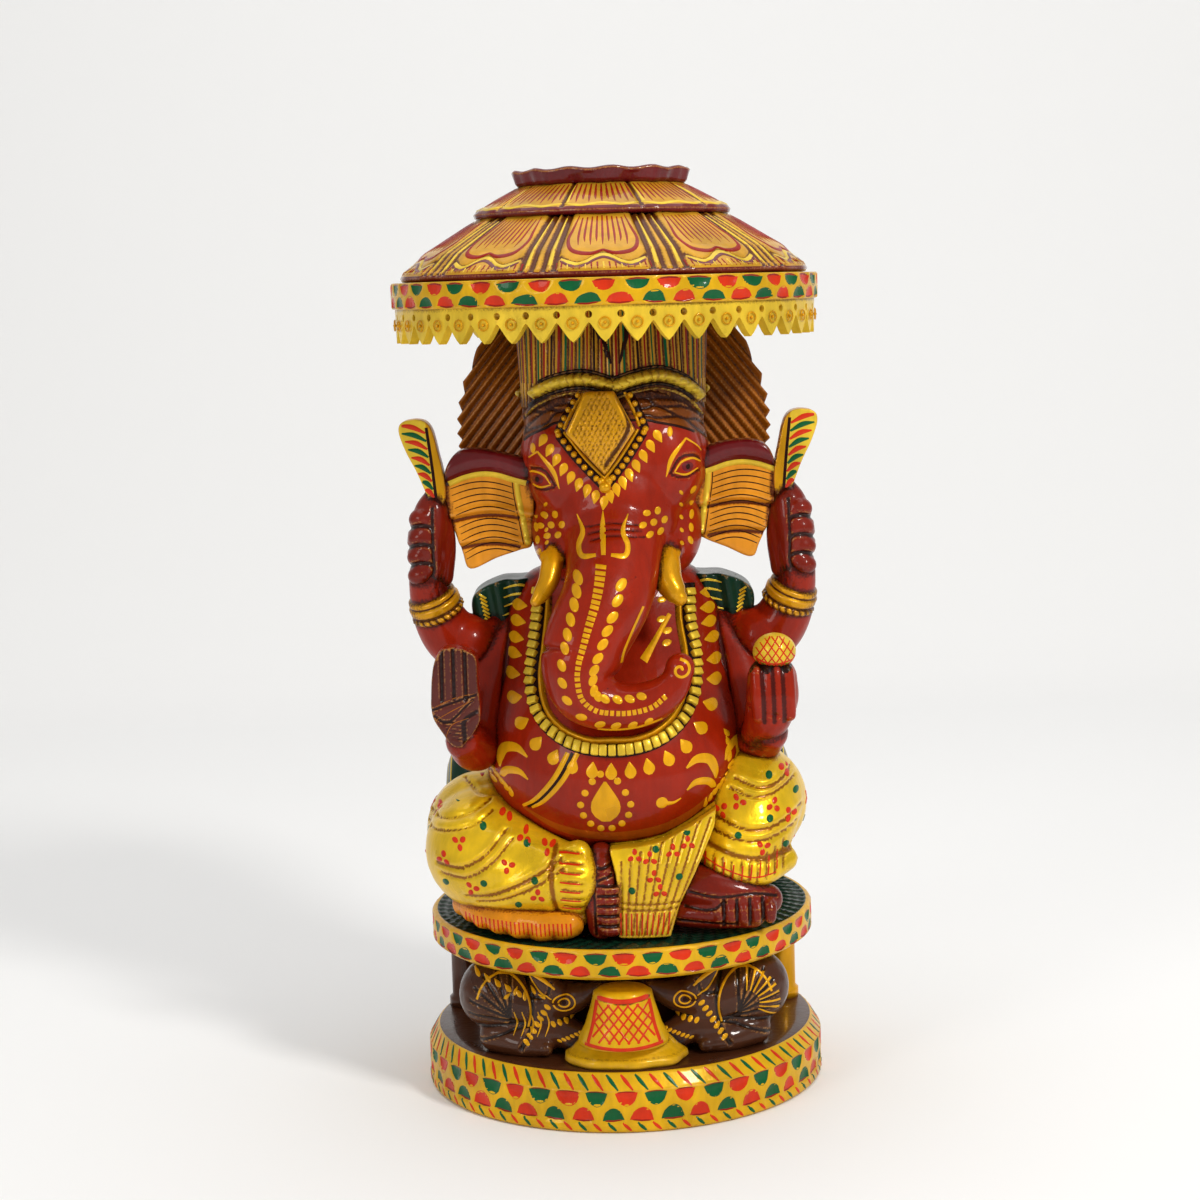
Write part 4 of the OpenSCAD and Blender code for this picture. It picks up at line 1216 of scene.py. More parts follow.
# The flute valleys are darkened strongly: dark wash, and painted shade under the canopy.
mark(drum, np.clip(1.0 - flute * 1.2, 0, 1))
bmesh.ops.recalc_face_normals(drum, faces=drum.faces)
drum_tree = tree_of(drum)
crown_piece = piece("crown_fluted", drum, [roof_gold], ["crown"])
marks = bmesh.new()
random.seed(5)
on_drum = around(drum_tree, 30, hx, -3.5)
for k in range(66):
    u = (k + 0.5) * math.tau * 30 / 66 + random.uniform(-0.25, 0.25)
    width = random.uniform(0.28, 0.5)
    thin(marks, on_drum, [(u, low.z + 1), (u + random.uniform(-0.3, 0.3), deck_z - 0.4)], width, n=9,
         lift=0.12, paint=(0, 1, 0, 2, 0, 1)[k % 6])
for path, width in (([(-5.6, deck_z - 1), (-4, deck_z - 9), (-0.6, deck_z - 19)], [1.6, 2.3, 0.3]),
                    ([(8.6, deck_z - 1), (5.8, deck_z - 10), (2.8, deck_z - 19)], [1.3, 1.1, 0.3])):
    daub(marks, on_drum, [(x, z) for x, z in path], width, n=18, paint=3)
piece("crown_stripes", marks, [wine_line, chip_green, black_line, black_line],
      sheet=0.2)

on_brow = facing(skin_of(bpy.data.objects["head_carved"], crown_piece))
band_line = up(neck_z, [(-29.3, 53), (-27.6, 57), (-22.5, 61.6), (-14.5, 64.6), (-6.4, 65.2), (1.4, 63),
                        (3, 63), (9.6, 65), (17.6, 65.8), (25.6, 62.6), (31, 57), (33.2, 53)])
band = bmesh.new()
daub(band, on_brow, band_line, [1.2] + [2.1] * 10 + [1.2], n=120, across=8, lift=2.6)
thin(band, on_brow, [(x, z + 2.7) for x, z in band_line], [0.4] + [0.6] * 10 + [0.4], n=120, lift=0.7,
     paint=1)
thin(band, on_brow, [(x, z - 2.7) for x, z in band_line], [0.4] + [0.6] * 10 + [0.4], n=120, lift=0.7,
     paint=1)
thin(band, on_brow, [(x, z - 3.9 - 0.2 * abs(x - 2) / 10) for x, z in band_line[1:-1]], 0.4, n=120,
     lift=0.9)
for s in (0, 1.7, -1.7):
    wrap = [(u, low.z - 2.6 + s * 1.5) for u in np.linspace(47, math.tau * 30 - 45, 12)]
    daub(band, on_drum, wrap, [1.7 if s == 0 else 0.4] * 12, n=110, across=6 if s == 0 else 2,
         lift=1.8 if s == 0 else 0.5, paint=0 if s == 0 else 1)
piece("browband_carved", band, [pale_gold, black_line], ["browband"], sheet=1.0)
for name, path, radii, collar in (
    ("right_tusk", [(-17.5, -19, 182), (-19.2, -27, 178.5), (-20.6, -31, 173), (-23.2, -33.5, 168.8),
                    (-24.8, -34.5, 166.8)],
     [3.4, 3.6, 3.4, 2.7, 1.9], (-19, -26.6, 180.4)),
    ("left_tusk", [(15.5, -19, 182), (17.2, -27, 178.5), (17.6, -32, 173), (20, -35, 168.6),
                   (21.4, -36, 166.8)],
     [4.2, 4.8, 4.8, 3.8, 2.6], (17.2, -26.6, 180.6)),
):
    peg = bmesh.new()
    worm(peg, path, radii, n=40)
    ball(peg, collar, (radii[0] + 1.2, radii[0] + 0.6, 1.6), (0.5, 0, 0))
    peg = fused(peg, 0.4, 3)
    hollows(peg, 0.8)
    piece(name + "_peg", peg, [gold], [name])

# --- Ears ---
# Broad flat ears with a rolled dark lobe on top, two folds, and orange skin lined with thin
# curved brush strokes inside a yellow edge.
ear_lines = {
    "right_ear": [(-30, 212), (-36, 213.5), (-44, 215), (-50, 214), (-54, 208), (-54.6, 199), (-52.4, 190),
                  (-49.4, 181), (-47, 175), (-38, 178.5), (-30, 181), (-26, 183), (-25, 198), (-26, 210)],
    "left_ear": [(31, 213), (37, 214.8), (45, 215.6), (51.5, 214), (54.6, 208), (56, 199.6), (52.6, 189),
                 (49, 181), (46.4, 176.4), (38, 180), (31, 183), (28, 186), (27, 199), (28, 211)],
}
ear_skin = enamel("ear_skin", (226, 146, 34), stain_and_shade=(96, 30, 8), coat=0.24)
for name, outline in ear_lines.items():
    way = -1 if name == "right_ear" else 1
    low, high = span(name)
    ear = slab(closed(outline, 90), low.y - 1, high.y, 0.6, 5)
    co = coords(ear)
    out = np.abs(co[:, 0] - 1)
    rise, fold_rise = (1.6, 2) if way > 0 else (0, 0)
    top_arc = 203.0 + 3.4 * np.sin(np.clip((out - 30) / 25, 0, 1) * math.pi) + rise
    front = co[:, 1] < (low.y + high.y) / 2
    over = np.clip((co[:, 2] - top_arc) / 2, 0, 1)
    lift = 2.6 * over * np.sin(np.clip((co[:, 2] - top_arc) / 11, 0, 1) * math.pi)
    fold = 0
    for fold_z, size in ((192.5, 1.5), (183.0, 1.2)):
        across = co[:, 2] - (fold_z + 1.9 * np.sin(np.clip((out - 28) / 26, 0, 1) * math.pi) + fold_rise)
        ridge, crease = np.exp(-(((across - 0.6) / 1.3) ** 2)), np.exp(-(((across + 1.5) / 0.8) ** 2))
        fold = fold + size * ridge - 0.9 * size * crease
        # The crease under each fold is darkened: painted shade below the fold.
        mark(ear, np.exp(-(((across + 1.7) / 0.6) ** 2)) * front * (out > 31))
    cup = 1.2 * np.cos(np.clip((out - 41) / 13, -1.5, 1.5)) - 0.6
    co[:, 1] -= front * (lift + (1 - over) * fold) - (1 - over) * cup * front
    set_coords(ear, co)
    mark(ear, np.exp(-(((co[:, 2] - top_arc) / 0.7) ** 2)) * front * 0.8)
    for face in ear.faces:
        mid = face.calc_center_median()
        reach = abs(mid.x - 1)
        arc = 203.0 + 3.4 * math.sin(min(1, max(0, (reach - 30) / 25)) * math.pi) + rise
        seen = mid.y < (low.y + high.y) / 2 - 1.5 and face.normal.y < -0.25
        face.material_index = 1 if mid.z > arc else 0 if seen else 2
    on_ear = facing(tree_of(ear))
    piece(name + "_carved", ear, [ear_skin, maroon, deep_red], [name])
    marks = bmesh.new()
    arc = [(1 + way * r, 203.1 + 3.4 * math.sin(max(0, (r - 30) / 25) * math.pi) + rise)
           for r in (28.5, 33, 38, 43, 48, 52.5, 54)]
    daub(marks, on_ear, arc, 0.9, n=44, lift=0.6)
    rim_in = [(1 + way * r, z + rise)
              for r, z in ((31.6, 203.8), (31.2, 199), (30, 192), (29, 186), (28.4, 182.8))]
    daub(marks, on_ear, rim_in, 0.9, n=30, lift=0.4)
    thin(marks, on_ear, [(x + way * 1.5, z) for x, z in rim_in], 0.16, n=30, lift=0.15, paint=1)
    for k in range(12):
        base = 201.4 - k * 1.95 + rise
        if abs(base - 192) < 0.5:
            continue
        reach = 52.6 - 0.42 * k
        stroke = [
            (1 + way * r,
             base + 2.6 * math.sin((r - 32) / (reach - 32) * math.pi * 0.9) - 0.1 * k * (r - 32) / 10)
            for r in np.linspace(33.2 - 0.2 * k, reach + 1.0, 7)
        ]
        thin(marks, on_ear, stroke, [0.12, 0.17, 0.19, 0.19, 0.19, 0.16, 0.1], n=30, lift=0.12, paint=1)
    piece(name + "_strokes", marks, [pale_gold, black_line], sheet=0.25)

# --- Upper arms, fists and the raised blades ---
# The rear arms are thick and bent upward at the elbow. Each wrist carries a ridged gold bangle
# and a fist of four stacked fingers that grips a flat painted blade.
for way, side_name in ((-1, "right"), (1, "left")):
    arm = bmesh.new()
    worm(arm, [(way * 28, 5, 152), (way * 38, 5, 150), (way * 47, 1, 148.5), (way * 53.5, -2, 151),
               (way * 58, -4, 158), (way * 60.5, -6.5, 166), (way * 61.3, -8.5, 171)],
               [11, 11, 10.4, 9.8, 8.8, 7.2, 6.4], n=60)
    ball(arm, (way * 50, -2, 149), (11.5, 10.5, 10.5))
    arm = fused(arm, 0.7, 6)
    carve(arm, [[(way * 36, 141), (way * 37.5, 150), (way * 36, 160)]], 0.9, 0.8, stain_and_shade=0.8)
    hollows(arm, 0.6)
    piece("rear_" + side_name + "_arm_carved", arm, [red], ["rear_" + side_name + "_arm"])
    ridges = [(6.2, -4.2), (8.6, -4), (9.5, -3), (9.2, -2), (8.4, -1.5), (9.2, -0.6), (9.2, 1.2), (8.2, 2),
              (8.6, 2.6), (8.4, 3.6), (7.2, 4.2), (4, 4.3)]
    bangle = turned([(0, -4.2)] + filled(ridges, 0.5) + [(0, 4.3)], 120)
    co = coords(bangle)
    reach = np.hypot(co[:, 0], co[:, 1])
    turn = np.arctan2(co[:, 1], co[:, 0])
    twist = np.sin(turn * 22 + co[:, 2] * 1.2) * (reach > 7) * (np.abs(co[:, 2] + 3) < 1.6)
    co[:, :2] *= (1 + 0.02 * twist)[:, None]
    set_coords(bangle, co)
    mark(bangle, np.clip(-twist, 0, 1) * 0.8 + (reach > 6) * np.exp(-(((co[:, 2] + 1.5) / 0.35) ** 2))
         + (reach > 6) * np.exp(-(((co[:, 2] - 2.1) / 0.35) ** 2)))
    bmesh.ops.scale(bangle, vec=(0.96, 1.04, 1), verts=bangle.verts)
    bmesh.ops.rotate(bangle, cent=(0, 0, 0), matrix=Matrix.Rotation(math.radians(way * 20), 3, "Y")
                     @ Matrix.Rotation(math.radians(16), 3, "X"), verts=bangle.verts)
    moved(bangle, way * 59.4, -5.6, 163.4)
    piece(side_name + "_bangle_ridged", bangle, [gold], [side_name + "_bracelet"])

    fist = bmesh.new()
    fx, fy = way * 60.2, -9
    worm(fist, [(fx, fy + 1, 171), (fx + way * 0.4, fy, 178), (fx, fy - 0.5, 187),
                (fx - way * 1.4, fy, 195), (fx - way * 2.6, fy + 1, 200)],
         [5.6, 6.9, 7.0, 5.8, 3.6], n=40)
    worm(fist, [(fx - way * 3, fy + 1, 173), (fx - way * 4.4, fy, 184), (fx - way * 4.6, fy + 1, 199)],
         [4.6, 4.4, 2.6], n=24)
    for k in range(4):
        z = 174 + k * 6.2
        ball(fist, (fx + way * (2.8 - 0.5 * max(0, k - 1)), fy - 2.8, z), (4.7, 4.6, 3.7),
             (0, way * 0.25, 0))
    fist = fused(fist, 0.45, 4)
    outer = lambda co: np.clip((co[:, 0] * way - 58.0) / 1.2, 0, 1)
    grooves = [[(fx + way * 7.5, z - 0.6), (fx + way * 3.6, z + 0.7), (fx, z + 0.6),
                (fx - way * 2, z - 0.6)]
               for z in (177.2, 183.4, 189.6)]
    carve(fist, grooves, 0.75, 0.8, toward=(way * 0.5, -0.8, 0), where=outer)
    carve(fist, [[(fx + way * 0.6, 171), (fx - way * 1.6, 175), (fx - way * 1.6, 182),
                  (fx - way * 1.8, 196)]], 0.6, 0.6)
    hollows(fist, 0.9)
    piece(side_name + "_fist_carved", fist, [deep_red], [side_name + "_fist"])

    node = "axe" if way < 0 else "noose"
    blade_line = [(way * 60.6, 201), (way * 63.4, 208), (way * 66.8, 215), (way * 68.8, 221.6),
                  (way * 67, 224.6), (way * 61.4, 225), (way * 58, 222), (way * 55.8, 213),
                  (way * 54.2, 205), (way * 54.4, 198), (way * 57.6, 196)]
    low, high = span(node)
    blade = slab(closed(blade_line, 80), low.y + 0.5, high.y, 0.4, 3)
    for face in blade.faces:
        mid = face.calc_center_median()
        offside = mid.x * way - (57.4 + (mid.z - 200) * 0.1)
        face.material_index = 0 if face.normal.y < -0.4 and offside > 0 else 1
    on_blade = facing(tree_of(blade))
    piece(node + "_blade", blade, [pale_gold, gold], [node])
    marks = bmesh.new()
    for k in range(9):
        z = 200.6 + k * 2.65
        x0, x1 = 57.8 + (z - 200) * 0.1, 60.8 + (z - 200) * 0.36
        daub(marks, on_blade, [(way * x0, z - 1.2), (way * (x0 + x1) / 2, z + 0.9), (way * x1, z + 1.5)],
             [0.35, 0.85, 0.25], n=10, lift=0.25, paint=k % 2)
    thin(marks, on_blade, [(way * 57.2, 199), (way * 58.2, 210), (way * 59.6, 222.4)], 0.5, n=24, paint=2)
    piece(node + "_strokes", marks, [chip_red, chip_green, black_line], sheet=0.25)

# --- Front arms, open palm, cupped hand and sweet ---
# The front arms hang close to the belly with the hands raised. The right palm faces out with its
# fingers up; the left hand curls up round a sweet ball painted with a red lattice.
for way, side_name in ((-1, "right"), (1, "left")):
    arm = bmesh.new()
    worm(arm, [(way * 33, 1, 151), (way * 39, -2, 143), (way * 43, -8, 132), (way * 45, -15, 121.5),
               (way * 46.5, -22, 117.5), (way * 49.5, -29, 121)], [8.6, 9.2, 9.2, 9, 8.2, 6.6], n=50)
    ball(arm, (way * 45.5, -17, 119), (8.5, 9.5, 8))
    arm = fused(arm, 0.7, 6)
    carve(arm, [[(way * 34, 158), (way * 36, 146), (way * 37, 134), (way * 36, 124)]], 0.9, 0.9, stain_and_shade=0.85)
    hollows(arm, 0.6)
    piece("front_" + side_name + "_arm_carved", arm, [red], ["front_" + side_name + "_arm"])

palm_line = [(-50, 120.5), (-45.5, 126), (-43.6, 131), (-44.2, 141), (-44.5, 149.5), (-48, 152), (-52, 153),
             (-56, 152), (-58.4, 147), (-59.4, 138), (-59.2, 131), (-56.6, 126), (-53, 121)]
palm = slab(closed(palm_line, 80), -38.6, -28.5, 0.5, 5)
carve(palm, [[(-55.9, 136), (-55.6, 153)], [(-52, 136.6), (-51.9, 154)], [(-48.2, 136), (-48.2, 153)]], 0.6,
      1.1)
carve(palm, [[(-59, 133), (-52, 135.4), (-45, 137.6)], [(-58.6, 131), (-54, 129), (-46, 136)]], 0.4, 0.5)
carve(palm, [[(-49, 122), (-49, 129), (-45, 132)]], 0.7, 0.8)
for k in range(5):
    carve(palm, [[(-56.6 + k * 0.9, 129.4 - 1.4 * k), (-48.6, 128 - k * 1.3)]], 0.3, 0.25, stain_and_shade=0.7)
hollows(palm, 0.8)
on_palm = facing(tree_of(palm))
paint_faces(palm, lambda mid, out: out.y > -0.3 and (mid.z > 143 or mid.x > -47))
palm_brown = enamel("palm_brown", (84, 34, 28), stain_and_shade=(30, 10, 8), coat=0.3)
piece("open_hand_carved", palm, [palm_brown, red], ["open_hand"])
marks = bmesh.new()
for line in ([(-58.4, 129.6), (-52, 133), (-46, 135.8)], [(-55.8, 122.4), (-53, 128), (-47.6, 130)],
             [(-58.2, 134), (-52, 136.6), (-45.4, 138)]):
    thin(marks, on_palm, line, [0.08, 0.13, 0.08], n=14, lift=0.08)
piece("open_hand_lines", marks, [ochre], sheet=0.2)

hand = bmesh.new()
worm(hand, [(46.5, -28, 121), (49, -31, 126), (50.6, -33, 133), (50.8, -33, 139)], [6, 7.6, 8.6, 8.2], n=24)
for k in range(4):
    x = 45.4 + k * 3.3
    worm(hand, [(x + 0.6, -38 + k * 0.3, 128), (x + 0.3, -39.4 + k * 0.4, 134), (x, -38.2 + k * 0.4, 142)],
         [2.2, 2.4, 2.4], n=14)
hand = fused(hand, 0.45, 4)
carve(hand, [[(x + 0.6, 126), (x + 0.3, 136), (x, 145)] for x in (47.0, 50.3, 53.6)], 0.8, 0.3)
hollows(hand, 0.6)
paint_faces(hand, lambda mid, out: mid.z > 143 + 1.2 * math.sin(mid.x))
piece("cupped_hand_carved", hand, [red, black_line], ["cupped_hand"])
sweet = bmesh.new()
ball(sweet, (51.6, -34, 148.4), (7.0, 6.6, 6.0), rings=4)
on_sweet = facing(tree_of(sweet))
piece("modak_ball", sweet, [pale_gold], ["modak"])
marks = bmesh.new()
for k in range(-3, 4):
    for lean in (-1, 1):
        line = [(51.6 + k * 2.5 - lean * 3.8, 148.4 - 5), (51.6 + k * 2.5 + lean * 3.8, 148.4 + 5.6)]
        pts = [p for p in eased(line, 60) if on_sweet(*p) is not None]
        if len(pts) > 20:
            thin(marks, on_sweet, [tuple(pts[2]), tuple(pts[len(pts) // 2]), tuple(pts[-3])], 0.22, n=14,
                 lift=0.12)
thin(marks, on_sweet, [(45.4, 147), (48, 145.6), (52, 145), (57, 146)], 0.3, n=14)
piece("modak_lattice", marks, [chip_red], sheet=0.2)

# --- Legs, cuffs and feet ---
# Folded legs in satin yellow cloth with shallow curved folds. The gathered cuffs end above dark
# red feet whose toes are carved one above the other.
satin = enamel("satin_yellow", (234, 190, 24), stain_and_shade=(140, 78, 6), metal=0.42, coat=0.34)
for name, limbs, folds in (
    ("right_leg",
     [([(-20, 14, 85), (-34, 4, 86), (-43.5, -15, 84), (-43, -25, 82), (-34, -36, 80), (-24, -42, 78.5),
        (-15.5, -45, 77.5)],
       [19, 20.5, 20.5, 19.5, 16.5, 13.4, 11.4]),
      ([(-30, -2, 89), (-45, -8, 87)], [20, 20])],
     [[(-65, 94.6), (-56, 96), (-49, 98.2), (-42, 101.5)], [(-65, 91.4), (-56, 92.6), (-48, 95), (-41, 99)],
      [(-60, 82), (-52, 82), (-44, 86.5), (-36.5, 94.5)], [(-59, 79), (-50, 79), (-42, 84), (-34.5, 92)],
      [(-50, 72), (-41, 74.4), (-30, 79.6), (-19, 86.5)],
      [(-46, 70.5), (-38, 72.4), (-28, 77.2), (-18, 83.6)],
      [(-52, 106), (-46, 103), (-38, 102.4)]]),
    ("left_leg",
     [([(24, 12, 86), (36, 6, 88), (43, -10, 94), (43, -21, 97), (42, -29, 91), (40.5, -33, 86),
        (39.5, -35, 83)],
       [18, 20, 19.6, 18.4, 16.2, 14.6, 13.6])],
     [[(30, 92), (38, 89.4), (47, 88.8), (58, 92)], [(31, 96), (39, 93), (48, 92.4), (60, 96.6)],
      [(36, 104.6), (43, 102.2), (50, 102.6), (58, 106)],
      [(38, 107.6), (45, 105), (51, 105.4), (57, 108.6)]]),
):
    leg = bmesh.new()
    for path, radii in limbs:
        worm(leg, path, radii, n=60)
    if name == "right_leg":
        worm(leg, [(-13.6, -46, 86.4), (-15.6, -47, 78), (-14.6, -47, 67)], [4.6, 6.4, 5], n=24)
    else:
        worm(leg, [(26, -38, 85.6), (34, -43, 80.8), (44, -43.5, 78.6), (53.5, -37, 80.6)],
             [4, 5.4, 5.6, 4.4], n=30)
    leg = fused(leg, 0.85, 7)
    co = coords(leg)
    spread_out = nearest(co[:, [0, 2]], [[(x, z + 1.7) for x, z in fold] for fold in folds])
    co[:, 1] -= (co[:, 1] < 0) * 0.75 * np.exp(-((spread_out / 1.1) ** 2))
    set_coords(leg, co)
    # The folds are darkened toward golden brown: painted shade in the fold hollows.
    carve(leg, folds, 0.55, 0.9, stain_and_shade=0.33)
    if name == "right_leg":
        carve(leg, [[(-20.5, 90), (-22.2, 82), (-21.6, 73), (-19.5, 65.5)]], 0.8, 1.1)
        carve(leg, [[(-19.5 + 0.2 * k, 88.5 - 2.9 * k), (-12, 87.5 - 2.9 * k)] for k in range(8)], 0.5, 0.5,
              stain_and_shade=0.8)
    else:
        carve(leg, [[(24, 90.4), (30, 87.2), (38, 84.4), (47, 83.2), (56, 84.6)]], 0.8, 1.1)
        gathers = [[(27 + 2.9 * k, 88 - 5.6 * math.sin((k + 0.8) / 10 * math.pi)),
                    (26.4 + 2.9 * k, 79.5 - 4.6 * math.sin((k + 0.8) / 10 * math.pi))] for k in range(10)]
        carve(leg, gathers, 0.5, 0.5, stain_and_shade=0.8)
    hollows(leg, 0.4, 0.1)
    leg_tree = tree_of(leg)
    on_leg = facing(leg_tree)
    piece(name + "_carved", leg, [satin], [name])
    marks = bmesh.new()
    if name == "right_leg":
        flowers = [(-51.9, 89.8), (-36, 84.2), (-36.4, 98.4), (-48, 75.6), (-23, 89.6), (-26.7, 74.6),
                   (-45.5, 108.5), (-60, 99), (-57.5, 84), (-30.5, 92.5)]
        sprigs = [(-52.9, 101.4), (-44, 95), (-29.7, 90.8), (-44, 78), (-33, 71.3), (-27.4, 79.9),
                  (-57, 76)]
        rows = [[(-19.5, 88 - 2.9 * k), (-13, 87.2 - 2.9 * k)] for k in range(7)]
    else:
        flowers = [(46, 115.2), (38.6, 100.6), (54.9, 109), (55.6, 95.3), (46, 86.6), (33, 98), (50, 99)]
        sprigs = [(49, 108), (48.5, 95.4), (38, 90.8), (53.8, 86), (58, 102)]
        rows = [[(27.6 + 2.9 * k, 87 - 5.6 * math.sin((k + 0.9) / 10 * math.pi)),
                 (27 + 2.9 * k, 81 - 4.6 * math.sin((k + 0.9) / 10 * math.pi))] for k in range(9)]
        thin(marks, on_leg, [(26, 84.4), (33, 80.6), (42, 77.6), (50, 78.4)], 0.25, n=24)
    out = -1 if name == "right_leg" else 1
    beside = facing(leg_tree, (-out, 0, 0))
    spots = [(on_leg, x, z, 0) for x, z in flowers] + [(on_leg, x, z, 1) for x, z in sprigs]
    spots += [(beside, -out * (y + 3 * (k % 2)), 74 + 7.5 * k, (k + int(y)) % 2) for y in (-14, -5, 5, 15)
              for k in range(4)]
    for where, x, z, kind in spots:
        a0 = random.uniform(0, 2)
        for a in (a0, a0 + 2.1, a0 + 4.2) if kind == 0 else ():
            dot(marks, where, x + 1.5 * math.sin(a), z + 1.5 * math.cos(a), 0.85, tall=1.25, lean=a,
                paint=0)
        if kind:
            dot(marks, where, x, z, 1.15, paint=1)
    for row in rows:
        thin(marks, on_leg, row, 0.24, n=8, lift=0.12)
    piece(name + "_flowers", marks, [chip_red, chip_green], sheet=0.25)

foot = bmesh.new()
worm(foot, [(-6, -44, 85), (-6.2, -47.5, 79), (-6.6, -48.5, 71), (-6.4, -48.5, 63)], [4.4, 5.8, 6.2, 4.6],
     n=30)
for k in range(5):
    z = 62.6 + k * 3.3
    worm(foot, [(-7, -50.4, z + 0.4), (-4.6, -53.2, z), (-2.2, -53, z)], [1.9, 2.1, 1.9], n=8)
foot = fused(foot, 0.42, 3)
carve(foot, [[(-7.4, 64.2 + k * 3.3), (-0.8, 64.2 + k * 3.3)] for k in range(5)], 0.5, 0.6)
carve(foot, [[(-8.4, 61), (-8.6, 70), (-8.2, 78), (-3, 80.4)]], 0.5, 0.5)
carve(foot, [[(-11.4, 84.4), (-6.6, 82.6), (-1.6, 84.2)]], 0.6, 0.5)
hollows(foot, 0.9)
piece("right_foot_carved", foot, [deep_red], ["right_foot"])
foot = bmesh.new()
worm(foot, [(23, -42, 74), (31, -44, 72.6), (40, -44, 70.6), (47, -42.5, 68.6)], [7.4, 7.2, 6.4, 5.2], n=36)
worm(foot, [(20, -44, 65), (30, -46, 65.4), (42, -45.6, 65)], [4.4, 5, 4.8], n=24)
for k in range(5):
    x = 30.6 + k * 4.2
    worm(foot, [(x, -46.4, 69.8 - 0.2 * k), (x + 0.2, -49.4, 67.4), (x + 0.2, -49.2, 64.4)],
         [2.1, 2.2, 2.0], n=8)
foot = fused(foot, 0.5, 3)
carve(foot, [[(32.7 + k * 4.2, 62), (32.7 + k * 4.2, 70.8)] for k in range(4)], 0.55, 0.8)
carve(foot, [[(22, 73.4), (31, 71.8), (42, 72.4), (50, 70.8)], [(20.5, 68.4), (28, 67.6), (33, 70)],
             [(18, 64), (26, 63.4), (36, 62.6)]], 0.5, 0.5)
hollows(foot, 0.8)
piece("left_foot_carved", foot, [deep_red], ["left_foot"])

# --- Sash and hem ---
# A pleated fall of cloth hangs between the feet, and a gathered hem lies under the folded leg.
fall_line = [(-1.4, 59.6), (-1, 70), (-1.6, 80), (-3.5, 88.6), (6, 89.5), (14, 91), (24, 96), (31, 100.5),
             (30.4, 95), (24, 81), (18.6, 70), (15.4, 59.6)]
fall = slab(fall_line, -53, -37, 0.5, 4)
co = coords(fall)
run = (co[:, 0] + 1.5) / (16.8 + np.clip(co[:, 2] - 60, 0, 40) * 0.42)
front = co[:, 1] < -46
co[:, 1] += front * np.clip((co[:, 2] - 84) / 14, 0, 1) * 3.2
co[:, 1] -= front * 0.9 * np.cos((run - 0.5) * math.pi)
set_coords(fall, co)
pleats = []
for k in range(9):
    part = 0.06 + k * 0.11
    top = 99.5 if part > 0.8 else 97 - (0.8 - part) * 14
    pleats.append([(-1.5 + part * (16.8 + (z - 60) * 0.42), z) for z in np.linspace(60.4, top - 2, 6)])
carve(fall, pleats, 0.55, 0.8, stain_and_shade=0.55)
carve(fall, [[(-0.6, 71.2), (8, 70.6), (18.6, 71.2)], [(-0.6, 69.2), (8, 68.6), (17.8, 69.2)]], 0.4, 0.5,
      stain_and_shade=0.7)
hollows(fall, 0.5)
on_fall = facing(tree_of(fall))
piece("dhoti_sash_pleated", fall, [satin], ["dhoti_sash"])
marks = bmesh.new()
for x, z in ((4.6, 86.4), (10.6, 79.6), (16.8, 87.6), (21.6, 90), (9.4, 85.6), (12.4, 75)):
    for k in range(3):
        dot(marks, on_fall, x + 1.5 * math.sin(k * 2.1), z + 1.5 * math.cos(k * 2.1), 0.8, tall=1.25,
            lean=k * 2.1, paint=0)
for x, z in ((11.4, 88.6), (3.4, 75.4), (18.6, 79.6), (21.4, 93.6)):
    dot(marks, on_fall, x, z, 1.15, paint=1)
for k in range(10):
    thin(marks, on_fall, [(-0.4 + 1.75 * k, 68), (-0.4 + 1.65 * k, 60.8)], 0.26, n=9, lift=0.12)
piece("dhoti_sash_flowers", marks, [chip_red, chip_green], sheet=0.25)

hem = bmesh.new()
worm(hem, [(-51.5, -25, 66), (-44, -37, 65.4), (-34, -45, 64.6), (-24, -49, 64), (-17, -50, 64.4)],
     [4.6, 5.2, 5.4, 5.4, 4.8], n=60)
worm(hem, [(-48, -22, 64.5), (-38, -32, 64.5), (-24, -40, 64.5)], [5, 5.4, 5.4], n=20)
hem = fused(hem, 0.5, 4)
co = coords(hem)
run = np.arctan2(co[:, 0] + 20, -co[:, 1]) * 45
ruffle = np.sin(run / 1.15)
low_part = np.clip((66 - co[:, 2]) / 5, 0, 1)
co[:, 1] -= 0.75 * ruffle * low_part
co[:, 0] -= 0.35 * ruffle * low_part
co[:, 2] = np.maximum(co[:, 2], seat_top - 0.2)
set_coords(hem, co)
mark(hem, np.clip(-ruffle - 0.35, 0, 1) * low_part * 0.8)
on_hem = facing(tree_of(hem))
piece("dhoti_hem_gathered", hem, [orange], ["dhoti_hem"])
marks = bmesh.new()
for k in range(26):
    x = -51 + k * 1.38
    thin(marks, on_hem, [(x, 65.6), (x + 0.2, 61.4)], [0.28, 0.2], n=7, lift=0.12)
piece("dhoti_hem_strokes", marks, [chip_red], sheet=0.2)

# --- Brush marks on the belly ---
# Teardrops ring the necklace; a pendant, a double cord and leaf sprays are painted in gold.
marks = bmesh.new()
bead_line, ahead, run = paced(necklace_line, 400)
for s in np.arange(6, run[-1] - 3, 5.3):
    i = int(np.searchsorted(run, s))
    outward = np.array([ahead[i][1], -ahead[i][0]])
    spot = bead_line[i] + outward * 6.4
    tear(marks, on_belly, spot[0], spot[1], 5.2, 3.7, math.atan2(-outward[0], -outward[1]))
drop_x, drop_z = -4.2, 103.8
tear(marks, on_belly, drop_x, drop_z, 13.5, 9.4, 0)
for k in range(14):
    a = k * math.tau / 14 + 0.22
    grow = 1 + 0.25 * max(0, math.cos(a))
    dot(marks, on_belly, drop_x + 8 * math.sin(a) * (1 - 0.25 * max(0, math.cos(a))),
        drop_z - 1 + 8.4 * grow * math.cos(a), 1.15)
